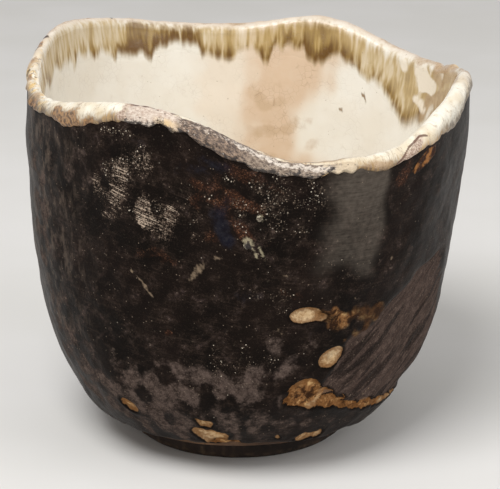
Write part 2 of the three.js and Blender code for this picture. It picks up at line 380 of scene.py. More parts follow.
def cut_area(turn, level):
    """1 inside the pared cut on the right, 0 outside it."""
    wander = 1.6 * waves(turn, level, 7, 22)
    upper_fade = 2.2 + 5 * soft(turn, 325, 345)
    lower_edge = soft(level - along(CUT_LOWER, turn) - wander * soft(turn, 330, 345), -0.1, 0.8)
    upper_edge = soft(along(CUT_UPPER, turn) - level + wander * 0.6, 0, upper_fade)
    return lower_edge * upper_edge * soft(turn + 0.5 * wander, 290, 297) * (1 - soft(turn + wander, 338, 355))


def stroke(turn, level):
    """Diagonal strokes of the paring tool."""
    slope = math.radians(STROKE_SLOPE)
    across = level * math.cos(slope) - arc_length(turn, level) * math.sin(slope)
    return np.sin(2 * np.pi * across / STROKE_WIDTH + 1.6 * waves(turn, level, 12, 21))


def relief(turn, place, level):
    """Height of the glazed surface above the outline."""
    slow = 0.18 * waves(turn, place, 14, 1) + 0.05 * waves(turn, place, 5.5, 2)
    quick = 0.022 * waves(turn, place, 2.2, 3)
    quiet = soft(outline_at(place)[0], 3, 22)
    calm = np.where(place > 0, 0.55, 1.0)
    cut = cut_area(turn, level) * (place < 0)
    return (slow + quick) * quiet * calm - cut * (CUT_DEPTH + STROKE_DEPTH * stroke(turn, level))


# %% [markdown]
# ## Where the black glaze missed the clay
#
# The bare marks are the bowl's landscape. Each is an oval on the wall, and its edge wanders. What is
# stored is the distance from that edge, so the finish can draw a burnt rim of an even width, and the
# glaze can sink to the clay there and roll up a little around it.

# %% Bare marks and burnt lumps
BARE_MARKS = [
    (285.3, 46.7, 7.4, 4.7, -2), (288, 46, 6, 2.6, -6), (294, 33.8, 6.6, 4.8, 36),
    (287.6, 24.8, 9, 7.4, 24), (285.4, 23.6, 5.4, 5, 30), (292.5, 22.4, 9.6, 5.4, -8),
    (298.5, 20.6, 7, 3, -14), (233.8, 18, 4.8, 3, -42), (258.6, 16.5, 3.6, 2, -30),
    (260.6, 11.8, 8.2, 4.6, -4), (266, 9.4, 9, 1.8, -6), (294.6, 9.9, 6.4, 2.7, 8), (283, 10.6, 1.8, 1.1, 0),
]
BURNT_LUMPS = [
    (291.6, 45.8, 5, 3, -8), (294.6, 43.6, 5.6, 3.8, -25), (298, 44.8, 5.6, 2.4, 26),
    (301.8, 44.6, 5.6, 3.2, -10), (306, 43.8, 4.4, 5, 20), (303, 40.4, 5, 2, 30),
]
WALL_RADII = [(7, 36), (14, 41.5), (25, 47), (46, 51.5), (88, 56)]
FAR_OUTSIDE = -9.0


def oval_distance(turn, level, marks):
    """Millimetres inside the nearest oval mark, negative outside it."""
    nearest = np.full(np.shape(turn), FAR_OUTSIDE)
    for at, height, width, tall, tilt in marks:
        sideways = np.radians(between(turn, at)) * np.interp(height, *zip(*WALL_RADII))
        up = level - height
        tilt = math.radians(tilt)
        u = (sideways * math.cos(tilt) + up * math.sin(tilt)) / (width / 2)
        v = (up * math.cos(tilt) - sideways * math.sin(tilt)) / (tall / 2)
        nearest = np.maximum(nearest, (1 - np.hypot(u, v)) * min(width, tall) / 2)
    return nearest


def bare_distance(turn, level):
    """Millimetres inside the bare clay, which is the marks and the ledge under the cut."""
    rough = 0.35 + soft(level, 29, 25) * soft(turn, 240, 250)
    ragged = 0.07 * rough * waves(turn, level, 1.6, 31) + 0.20 * rough * waves(turn, level, 3.1, 32)
    marks = oval_distance(turn, level, BARE_MARKS)
    narrowing = 1.1 - 0.8 * soft(turn, 312, 340)
    ledge = narrowing - np.abs(level - along(CUT_LOWER, turn) - 0.1)
    ledge = np.where((turn > 297) & (turn < 341), ledge, FAR_OUTSIDE)
    return np.maximum(marks, ledge) + ragged


# %% [markdown]
# ## Painting
#
# Soft patches, such as smoke or rust in the glaze, are painted on the points of the mesh as daubs:
# ovals with a soft border. A paint is a name, the softness of its border, how ragged that is, a seed
# for the raggedness, and its ovals. The fine grain in a patch comes later, from noise in the finish.

# %% Daubs
def daubed(turn, level, border, ragged, seed, daubs):
    """The strongest of some soft ovals, as turn, level, width, height, tilt and strength."""
    wander = 0.7 * ragged * waves(turn, level, 3.6, seed)
    total = np.zeros(np.shape(turn))
    for at, height, width, tall, tilt, strength in daubs:
        inside_by = oval_distance(turn, level, [(at, height, width, tall, tilt)]) / (min(width, tall) / 2)
        total = np.maximum(total, strength * soft(inside_by + wander, -0.1, border))
    return total


def layers(turn, level, paints):
    """One number per point for each named paint."""
    return {name: daubed(turn, level, *paint) for name, paint in paints.items()}


# %% [markdown]
# ## Clay body
#
# The clay carries everything, yet it shows only along the lower edge, on the underside and at the
# rim of the foot. Its section is open and ends on the axis twice, so the spin closes it there. It is
# coarser than the glaze, because the glaze hides its walls.

# %% Clay body
def spun_body(name, points, turns):
    """A closed body from a section that starts and ends on the axis."""
    piece = ring_of(name, points)
    for i, vertex in enumerate(piece.data.vertices):
        vertex.co = (TUBE, 0, i / (points - 1))
    with edit_mode(piece, "DESELECT"):
        bpy.ops.mesh.select_mode(type="EDGE")
    for edge in piece.data.edges:
        edge.select = abs(edge.vertices[0] - edge.vertices[1]) > 1
    with edit_mode(piece, None):
        bpy.ops.mesh.delete(type="EDGE")
        bpy.ops.mesh.select_mode(type="VERT")
    turned(piece, turns)
    return piece


UNDERSIDE, OUTER_STEP, INNER_STEP = 24, 1.5, 3.0
THROWING_DEPTH, THROWING_WIDTH = 0.12, 3.1
clay_rings = [("under", radius) for radius in np.linspace(0, EDGE_RADIUS - 1.2, UNDERSIDE)]
clay_rings += [("wall", place) for place in np.arange(LOWER_EDGE, -4, OUTER_STEP)]
clay_rings += [("wall", place) for place in np.linspace(-4, 4, 9)]
clay_rings += [("wall", place) for place in [*np.arange(6, FLOOR_MIDDLE - 2, INNER_STEP), FLOOR_MIDDLE]]
clay = spun_body("clay_wall", len(clay_rings), turns=360)
turn, share, _ = places_of(clay)
ring = np.rint(share * (len(clay_rings) - 1)).astype(int)
is_under = np.array([kind == "under" for kind, _ in clay_rings])[ring]
value = np.array([number for _, number in clay_rings])[ring]
wall_radius, wall_level = outline_at(value, CLAY_DEPTH)
rings = value * 2 * math.pi / THROWING_WIDTH + 0.6 * waves(turn, value, 9, 12)
throwing = THROWING_DEPTH * np.sin(rings)
radius = np.where(is_under, value, wall_radius)
level = np.where(is_under, FOOT_HEIGHT + throwing * soft(value, 2, 6), wall_level)
radius[ring == len(clay_rings) - 1] = 0
lumps = 0.10 * waves(turn, value, 4, 14) * soft(radius, 4, 18)
radius = radius + np.where(~is_under & (value < LOWER_EDGE + 6), lumps, 0)
put(clay, pressed(turn, radius, level, ~is_under & (value < 0)))
with edit_mode(clay):
    bpy.ops.mesh.remove_doubles(threshold=DOUBLES)
    bpy.ops.mesh.normals_make_consistent(inside=False)
bpy.ops.object.shade_smooth_by_angle(angle=math.radians(40))
finished(clay, "clay", "clay_body")

# %% [markdown]
# ## Foot ring
#
# The foot was cut with a knife when the clay was leather hard: a low ring, a little off the middle,
# with broken edges. It is a spun section whose sides wander a little, as a knife does. A Bevel
# modifier then breaks its edges.

# %% Foot ring
FOOT_OUTER, FOOT_TOP = FOOT_WIDTH / 2, FOOT_HEIGHT - 0.3
foot = spun_band("cut_foot", front=12, back=12, turns=360)
turn, share, back = places_of(foot)
radius = np.where(back > 0, FOOT_OUTER - FOOT_BREADTH, FOOT_OUTER)
level = share * FOOT_TOP
round_edge = 0.9 * (1 - soft(level, 0, 1.3)) ** 1.5
radius += np.where(back > 0, round_edge, -round_edge)
radius += (0.16 * waves(turn, level, 7, 51) + 0.05 * waves(turn, level, 2.5, 52)) * soft(level, 0, 1)
put(foot, pressed(turn, radius, level, np.zeros(len(turn))))
with edit_mode(foot):
    bpy.ops.mesh.normals_make_consistent(inside=False)
bevel = foot.modifiers.new("Broken edges", "BEVEL")
bevel.width, bevel.segments, bevel.limit_method = 0.25 * MM, 2, "ANGLE"
bpy.ops.object.modifier_apply(modifier=bevel.name)
bpy.ops.object.shade_smooth_by_angle(angle=math.radians(50))
finished(foot, "foot_clay", "foot_ring")

# %% [markdown]
# ## Black glaze
#
# The main coat. Its lower edge wanders above the bare clay, its upper edge runs on under the lip
# glaze, and it sinks to the clay at the bare marks. The front has a ring of points every 0.7 mm, and
# the back only a few, because nobody sees it.

# %% Black glaze
LIP_SKIRT = [
    (4, 6), (40, 4.6), (62, 6.8), (90, 4.4), (118, 6.2), (150, 3.9), (176, 5.4), (199.5, 3.9), (214.5, 4.9),
    (221, 6.7), (230, 5.8), (240, 4.6), (254, 3.7), (260, 4.7), (266, 4.4), (274, 4.5), (283, 3.7),
    (292, 2.9), (298, 4.5), (303, 5.1), (309, 4.2), (315, 4.9), (321, 6), (330, 7.4), (335, 7.8),
    (340, 6.5), (348, 4.8),
]
BARE_FOOT_EDGE = [(20, 1), (120, 1.4), (205, 0.7), (240, 0.8), (268, 1.6), (285, 1.2), (295, 0.5), (320, 0.8)]


def skirt_edge(turn):
    """How far the lip glaze reaches down outside, from the crest."""
    return eased(LIP_SKIRT, turn) + 0.25 * waves(turn, 0, 3.2, 61) + 0.12 * waves(turn, 0, 1.5, 62)


def foot_edge(turn):
    """Where the black glaze ends above the foot, from the crest."""
    return LOWER_EDGE + eased(BARE_FOOT_EDGE, turn) + 0.25 * waves(turn, 0, 4, 63)


TURNS = 500
black = spun_band("black_coat", front=132, back=12, turns=TURNS)
turn, share, back = places_of(black)
low, high = foot_edge(turn), -skirt_edge(turn) + 2.2
place, level = reached(share, low, high)
bare = bare_distance(turn, level)
sunk = 0.55 * soft(bare, -0.35, 0.55)
rolled = 0.14 * bump(bare + 0.55, 0.8)
ends = 0.5 * (1 - soft(place - low, 0, 0.9)) + 0.5 * soft(place, high - 2.2, high)
front = relief(turn, place, level) - sunk + rolled - ends
laid(black, turn, place, back, COAT + 0.15, front)
finished(black, "black_glaze", "black_glaze")

# %% [markdown]
# ## Cream glaze on the lip and its grey crust
#
# A thick, soft coat rolls over the lip. Its outer edge hangs in a fringe over the black glaze and is
# thickest just above that edge. Inside, it thins out into the lining. On the near side the lip glaze
# boiled and stayed matt: a thin grey crust with a granular skin. It is a partial band over the cream
# glaze, which lies lower there. It thins to nothing on all its sides, so it needs a spin of its own
# and two closed ends.

# %% Edges of the crust
CRUST_FROM, CRUST_TO = 238.0, 296.0
CRUST_INNER = [
    (238, 0.4), (247, 0.5), (252, 0.4), (254, 0.3), (258, 0.5), (263, 0.4), (267, 0.2), (271, 0.0),
    (276, -0.2), (285, -0.3), (291, -0.8), (296, -1.6),
]


def crust_edges(turn):
    """Where the crust ends outside and inside, as distances from the crest."""
    lower = -skirt_edge(turn) - 0.25 + 0.2 * waves(turn, 0, 2.4, 66) + 0.07 * waves(turn, 0, 0.9, 70)
    return lower, along(CRUST_INNER, turn) + 0.15 * waves(turn, 0, 2.5, 67)


def crust_cover(turn, place, border):
    """1 well inside the crust, 0 at its borders and outside it."""
    low, high = crust_edges(turn)
    across = soft(place - low, 0, border) * (1 - soft(place, high - border, high))
    return across * soft(turn, CRUST_FROM, CRUST_FROM + 5) * (1 - soft(turn, CRUST_TO - 5, CRUST_TO))


# %% Cream lip glaze
cream_lip = spun_band("cream_lip", front=40, back=8, turns=720)
turn, share, back = places_of(cream_lip)
low, high = -skirt_edge(turn), LIP_INSIDE + 0.3 * waves(turn, 0, 6, 64)
place, level = reached(share, low, high)
hem = soft(place - low, 0, 0.8) * 0.24 + 0.12 * bump(place - low - 1.1, 1.2)
wear = 0.04 * waves(turn, place, 1.6, 65) + 0.3 * bump(between(turn, 192), 32) * waves(turn, place, 2.6, 73)
proud = hem * (1 - soft(place, 0.5, LIP_INSIDE)) - 0.3 * (1 - soft(place - low, 0, 0.45))
proud += wear * (1 - soft(place, 1.2, 2.9)) - 0.03 * soft(place, high - 1.6, high)
proud -= 0.5 * crust_cover(turn, place, 0.5)
laid(cream_lip, turn, place, back, COAT, relief(turn, place, level) + proud)
finished(cream_lip, "cream_lip", "cream_lip_glaze")

# %% Grey crust
arc = CRUST_TO - CRUST_FROM
crust = spun_band("grey_crust", front=30, back=6, turns=320, arc=arc, start=CRUST_FROM)
with edit_mode(crust, "DESELECT"):
    bpy.ops.mesh.select_mode(type="EDGE")
    bpy.ops.mesh.select_non_manifold(extend=False)
    bpy.ops.mesh.fill_holes(sides=0)
    bpy.ops.mesh.select_mode(type="VERT")
turn, share, back = places_of(crust)
low, high = crust_edges(turn)
place, level = reached(share, low, high)
grains = 0.07 * waves(turn, place, 1.2, 68) + 0.05 * waves(turn, place, 0.8, 69)
height = relief(turn, place, level) - 0.2 + crust_cover(turn, place, 0.7) * (0.58 + grains)
laid(crust, turn, place, back, 0.3, height)
finished(crust, "grey_lip", "grey_lip_glaze")

# %% [markdown]
# ## Brown runs inside
#
# Under the lip a brown glaze ran down in streaks and stopped in drips, which are a little raised. The
# band reaches just past the drips, and its finish paints brown only above the ends that are listed
# here.

# %% Brown runs
RUN_ENDS = [
    (0, 82), (6, 82.5), (14, 79.5), (17, 78.5), (20, 77), (23, 76), (25, 79.5), (27, 79.5), (28.6, 75.5),
    (30.5, 73.5), (32.5, 74.6), (34.5, 73), (36.5, 71.4), (38.5, 71.8), (40.5, 73.6), (43, 76), (46, 77.8),
    (48.5, 79.4), (51, 80.2), (53, 78.4), (55.2, 79.2), (57, 80.8), (59.5, 81), (62.5, 82), (65.5, 81.2),
    (67.5, 78.9), (70, 78.2), (72.4, 78.6), (73.6, 81.6), (76, 81.6), (78.5, 83), (80.5, 81.4), (82.6, 83.2),
    (84.2, 79.2), (85.6, 79.4), (86.8, 82), (89, 83.4), (93, 83.6), (95, 81.2), (97, 81), (99, 82),
    (104.5, 82.2), (105.6, 84.6), (109, 84.9), (114, 84.8), (116.6, 83.8), (119, 82.6), (120.4, 79.7),
    (122, 80.2), (123.2, 81.6), (126, 80.7), (129.5, 81), (131.5, 81.6), (133, 79), (134.4, 80.8),
    (138.5, 81.6), (141, 80.2), (143.5, 82), (146, 80.4), (148.6, 82), (151, 78.7), (153, 81.4),
    (158.5, 80.8), (163, 82.4), (168, 80.4), (174, 83), (186, 80), (196, 82), (204, 78), (212, 82),
    (222, 80.5), (233, 83), (244, 77.5), (250, 82), (262, 81), (270, 83.5), (281, 79), (290, 82), (298, 80),
    (309, 83.5), (318, 78.5), (326, 82), (340, 80), (352, 83),
]
inner_start = len(outside) + len(lip)
INNER_LEVELS, INNER_PLACES = outline[inner_start:, 1], distance[inner_start:]
PAST_DRIPS = 3.2


def run_end(turn):
    """Height at which the brown runs stop, before the hills of the lip."""
    return eased(RUN_ENDS, turn) + 0.25 * waves(turn, 0, 2.2, 71)


def run_edge(turn):
    """How far the band of the runs reaches down inside: evenly, a little past the drips."""
    evened = sum(run_end(turn + step) for step in range(-6, 7, 2)) / 7
    return np.interp(-evened, -INNER_LEVELS, INNER_PLACES) + PAST_DRIPS


runs = spun_band("brown_runs", front=34, back=6, turns=TURNS)
turn, share, back = places_of(runs)
low, high = LIP_INSIDE - 2.6, run_edge(turn)
place, level = reached(share, low, high)
ends = 0.07 * (1 - soft(place - low, 0, 2.6)) + 0.16 * soft(place, high - 2.6, high)
ends -= 0.24 * (1 - soft(place, 0.5, LIP_INSIDE))
beads = 0.10 * soft(level - run_end(turn), -0.5, 0.6) * soft(run_end(turn) + 4.0 - level, 0, 3.0)
laid(runs, turn, place, back, COAT, relief(turn, place, level) + 0.04 + beads - ends)
finished(runs, "brown_run", "brown_run_glaze")

# %% [markdown]
# ## Cream lining
#
# The lining runs from under the brown glaze to the middle of the floor, where its points meet in one
# pole.

# %% Cream lining
lining = spun_band("inside_lining", front=112, back=10, turns=TURNS)
turn, share, back = places_of(lining)
low, high = run_edge(turn) - PAST_DRIPS, FLOOR_MIDDLE
place, level = reached(share, low, high)
ends = 0.4 * (1 - soft(place - low, 0, 0.8))
laid(lining, turn, place, back, COAT, relief(turn, place, level) - ends)
finished(lining, "cream_lining", "cream_lining")

# %% [markdown]
# ## Stones that burst through the glaze
#
# Two grains of feldspar in the clay swelled in the fire and split the black glaze. Each starts as a
# ball of triangles, flattened on to the wall and made craggy by a clouds texture.

# %% Stones
STONES = [
    ("large_grain", "burst_stone", 270.6, 67, 2.8, 3.2),
    ("small_grain", "small_stone", 272.5, 74.6, 1.5, 1.9),
]
SUNK = 0.15
stones = []
for name, node, at, height, width, tall in STONES:
    bpy.ops.object.select_all(action="DESELECT")
    bpy.ops.mesh.primitive_ico_sphere_add(subdivisions=5, radius=1, location=(0, 0, 0))
    stone = made(name)
    with edit_mode(stone):
        bpy.ops.transform.resize(value=(width / 5, width / 2, tall / 2))
    clouds = bpy.data.textures.new(name + " crags", "CLOUDS")
    clouds.noise_scale, clouds.noise_depth = 0.8, 3
    crags = stone.modifiers.new("Crags", "DISPLACE")
    crags.texture, crags.strength, crags.mid_level = clouds, 0.45, 0.5
    bpy.ops.object.modifier_apply(modifier=crags.name)
    spot = distance[np.argmin(np.abs(outside[:, 1] - height))]
    middle = pressed(np.array([at]), *outline_at(np.array([spot])), 1)[0]
    angle = math.radians(at)
    out = np.array([math.cos(angle), math.sin(angle), 0])
    side = np.array([-math.sin(angle), math.cos(angle), 0])
    for vertex in stone.data.vertices:
        x, y, z = vertex.co
        vertex.co = Vector(middle + (out * (x - SUNK) + side * y + np.array([0, 0, z])) * MM)
    with edit_mode(stone):
        bpy.ops.mesh.normals_make_consistent(inside=False)
    bpy.ops.object.shade_smooth()
    finished(stone, "stone", node)
    stones.append(stone)

# %% [markdown]
# ## Writing finishes as sums
#
# A finish is a net of nodes. To keep it readable, a wire between nodes is wrapped in a small class,
# so that a sum or product of wires adds the right Math nodes. Colours are mixed with Mix nodes, since
# a Math node would turn them grey: each layer of colour coats what lies under it, where its share is
# 1. Every other node comes from one method.

# %% Wires
def tint(red, green, blue):
    """A colour as the eye reads it, 0 to 255, turned into light."""
    parts = [c / 255 for c in (red, green, blue)]
    return tuple(c / 12.92 if c <= 0.04045 else ((c + 0.055) / 1.055) ** 2.4 for c in parts) + (1.0,)


class Wire:
    """The output of a node, ready for arithmetic."""

    def __init__(self, net, socket):
        self.net, self.socket = net, socket

    def __add__(self, other):
        return self.net.math("ADD", self, other)

    def __sub__(self, other):
        return self.net.math("SUBTRACT", self, other)

    def __rsub__(self, other):
        return self.net.math("SUBTRACT", other, self)

    def __mul__(self, other):
        return self.net.math("MULTIPLY", self, other)

    __radd__, __rmul__ = __add__, __mul__

    def swing(self, amount):
        """Clouds about 0.5 turned into clouds about 0, so many times as strong."""
        return (self - 0.5) * amount

    def slope(self, low, high):
        """0 at low, 1 at high, smooth between. Low may be the larger one."""
        sockets = {"Value": self, "From Min": low, "From Max": high}
        return self.net.node("ShaderNodeMapRange", {"interpolation_type": "SMOOTHSTEP"}, sockets)

    def coated(self, share, colour):
        """This colour with another one laid over it where share is 1."""
        return self.net.mixed(share, self, colour)


# %% Nets
class Net:
    """A net of nodes that grows by one expression at a time."""

    def __init__(self, owner):
        owner.use_nodes = True
        self.nodes, self.links = owner.node_tree.nodes, owner.node_tree.links
        self.nodes.clear()

    def node(self, kind, settings=None, sockets=None, output=0):
        """A node of this type, with its settings, then the values or wires of its sockets."""
        made_node = self.nodes.new(kind)
        for name, value in (settings or {}).items():
            setattr(made_node, name, value)
        for name, value in (sockets or {}).items():
            if isinstance(value, Wire):
                self.links.new(value.socket, made_node.inputs[name])
            else:
                made_node.inputs[name].default_value = value
        return Wire(self, made_node.outputs[output]) if len(made_node.outputs) else None

    def math(self, operation, first, second):
        return self.node("ShaderNodeMath", {"operation": operation}, {0: first, 1: second})

    def mixed(self, share, first, second):
        """The first colour where share is 0 and the second where it is 1."""
        first, second = (c if isinstance(c, Wire) else tint(*c) for c in (first, second))
        sockets = {"Factor": share, "A": first, "B": second}
        return self.node("ShaderNodeMix", {"data_type": "RGBA"}, sockets, "Result")


# %% Finishes
WALL_MAP = 1000.0
SPECK_ROOM = 2.4


class Finish(Net):
    """A material: clouds, cells and stored paints, and the shader they end in."""

    def __init__(self, name, **constants):
        self.material = bpy.data.materials.new(name)
        self.constants = {name.replace("_", " "): value for name, value in constants.items()}
        super().__init__(self.material)

    def painted(self, name):
        """A number that was stored on the points."""
        return self.node("ShaderNodeAttribute", {"attribute_name": name}, output="Fac")

    def scaled(self, where, scale):
        return self.node("ShaderNodeVectorMath", {"operation": "MULTIPLY"}, {0: where, 1: scale})

    def places(self, stretch=(1, 1, 1)):
        """Object coordinates in millimetres, stretched along some axes."""
        here = self.node("ShaderNodeTexCoord", output="Object")
        return self.scaled(here, tuple(1 / (MM * s) for s in stretch))

    def wall(self, stretch=(1, 1), slope=0.0):
        """Millimetres round the wall and along it, from the piece's own map, turned by a slope."""
        sockets = {"Vector": self.node("ShaderNodeUVMap", {"uv_map": "wall"})}
        sockets["Rotation"] = (0, 0, math.radians(slope))
        turned_map = self.node("ShaderNodeMapping", {"vector_type": "TEXTURE"}, sockets)
        return self.scaled(turned_map, (WALL_MAP / stretch[0], WALL_MAP / stretch[1], 1))

    def noise(self, size, where=None, detail=3.0, rough=0.55, twist=0.0):
        """Clouds with lumps of this size in millimetres, about 0.3 to 0.7."""
        sockets = {"Scale": 1 / size, "Detail": detail, "Roughness": rough, "Distortion": twist}
        return self.node("ShaderNodeTexNoise", {}, {"Vector": where or self.places(), **sockets})

    def cells(self, size, where=None, feature="F1", output=0):
        """Cells of this size in millimetres."""
        sockets = {"Vector": where or self.places(), "Scale": 1 / size}
        return self.node("ShaderNodeTexVoronoi", {"feature": feature}, sockets, output)

    def specks(self, size, share, where=None):
        """Grains of this size in a share of the cells, a wire or a number."""
        near = self.cells(size * SPECK_ROOM, where)
        colour = self.cells(size * SPECK_ROOM, where, output="Color")
        lot = self.node("ShaderNodeSeparateColor", {}, {0: colour})
        return near.slope(0.26, 0.14) * (lot - share).slope(0.0, -0.02)

    def dress(self, *pieces, colour, roughness, height=None, depth=0.0):
        """Connects the results to the shader and gives the finish to the pieces."""
        sockets = {**self.constants, "Base Color": colour, "Roughness": roughness}
        if height:
            bumps = {"Height": height, "Distance": depth * MM, "Strength": 1.0}
            sockets["Normal"] = self.node("ShaderNodeBump", {}, bumps)
        shader = self.node("ShaderNodeBsdfPrincipled", {}, sockets)
        self.node("ShaderNodeOutputMaterial", {}, {"Surface": shader})
        for piece in pieces:
            piece.data.materials.clear()
            piece.data.materials.append(self.material)
        print(self.material.name + ":", len(self.nodes), "nodes")


# %% A map of the wall
def map_wall(piece):
    """A map of the wall: millimetres round it and along it, cut open at the back."""
    turn, place = kept(piece, "turn", "place")
    corners = np.empty(len(piece.data.loops), np.int32)
    piece.data.loops.foreach_get("vertex_index", corners)
    sizes = np.empty(len(piece.data.polygons), np.int32)
    piece.data.polygons.foreach_get("loop_total", sizes)
    first = np.repeat(corners[np.cumsum(sizes) - sizes], sizes)
    round_wall = np.radians(between(turn[first], 270) + between(turn[corners], turn[first])) * LIP_RADIUS
    uv = np.stack([round_wall / WALL_MAP, place[corners] / WALL_MAP], axis=-1)
    piece.data.uv_layers.new(name="wall").data.foreach_set("uv", uv.astype(np.float32).ravel())


for piece in (black, cream_lip, crust, runs, lining):
    map_wall(piece)
    print("Mapped:", piece.name)

# %% [markdown]
# ## Bare clay and the foot
#
# The clay is a sandy stoneware, pale tan where the fire only touched it and darker on the foot and
# the underside. On the underside that darkness is partly smoke and partly painted shade; on the foot
# it is painted shade, for the shadow under the bowl.

# %% Clay finishes
def sandy(finish, pale, dark):
    """Colour of sandy clay, and the height of its grain."""
    sand = finish.noise(0.5, detail=2, rough=0.7)
    colour = finish.mixed(finish.noise(9, detail=4).slope(0.32, 0.68), pale, dark)
    colour = colour.coated(sand.slope(0.42, 0.75) * 0.55, dark)
    return colour.coated(finish.specks(0.45, 0.05) * 0.8, (58, 38, 26)), sand


# Darker clay on the lower edge and underside: partly smoke, partly painted shade
clay_finish = Finish("bare clay", Specular_IOR_Level=0.3)
colour, sand = sandy(clay_finish, (112, 84, 60), (62, 45, 34))
clay_finish.dress(clay, colour=colour, roughness=0.88, height=sand, depth=0.12)

# Painted shade: the foot is coloured dark for the shadow under the bowl
foot_finish = Finish("foot clay in painted shade", Specular_IOR_Level=0.3)
colour, sand = sandy(foot_finish, (52, 40, 33), (31, 24, 20))
edge_wear = foot_finish.node("ShaderNodeNewGeometry", output="Pointiness").slope(0.5, 0.56)
colour = colour.coated(edge_wear * foot_finish.noise(2).slope(0.4, 0.6) * 0.5, (150, 122, 94))
foot_finish.dress(foot, colour=colour, roughness=0.85, height=sand, depth=0.12)

# %% [markdown]
# ## Stones
#
# The stones are pale and veined. The large one has a dark spot, a little below its middle, where a
# bubble burst: painted shade that stands for the pit, which the mesh does not have. The spot is
# stored on the points, as a soft spot.

# %% Stone finish
PIT_ASIDE, PIT_UP, PIT_SIZE = -0.2, -0.6, 1.2
for stone in stones:
    spots = np.array([tuple(vertex.co) for vertex in stone.data.vertices]) / MM
    aside, _, up = (spots - spots.mean(axis=0)).T
    away = np.hypot(aside - PIT_ASIDE, up - PIT_UP)
    # Painted shade: a soft dark spot for the pit of the large stone
    keep(stone, pit=soft(away, PIT_SIZE, PIT_SIZE / 2) * (stone is stones[0]))

stone_finish = Finish("burst stone", Specular_IOR_Level=0.4)
veins = stone_finish.noise(0.9, detail=4, rough=0.7)
colour = stone_finish.mixed(veins.slope(0.4, 0.55), (196, 188, 164), (72, 60, 48))
# Painted shade for the pit
colour = colour.coated(stone_finish.painted("pit"), (26, 17, 13))
stone_finish.dress(*stones, colour=colour, roughness=0.55, height=veins, depth=0.2)
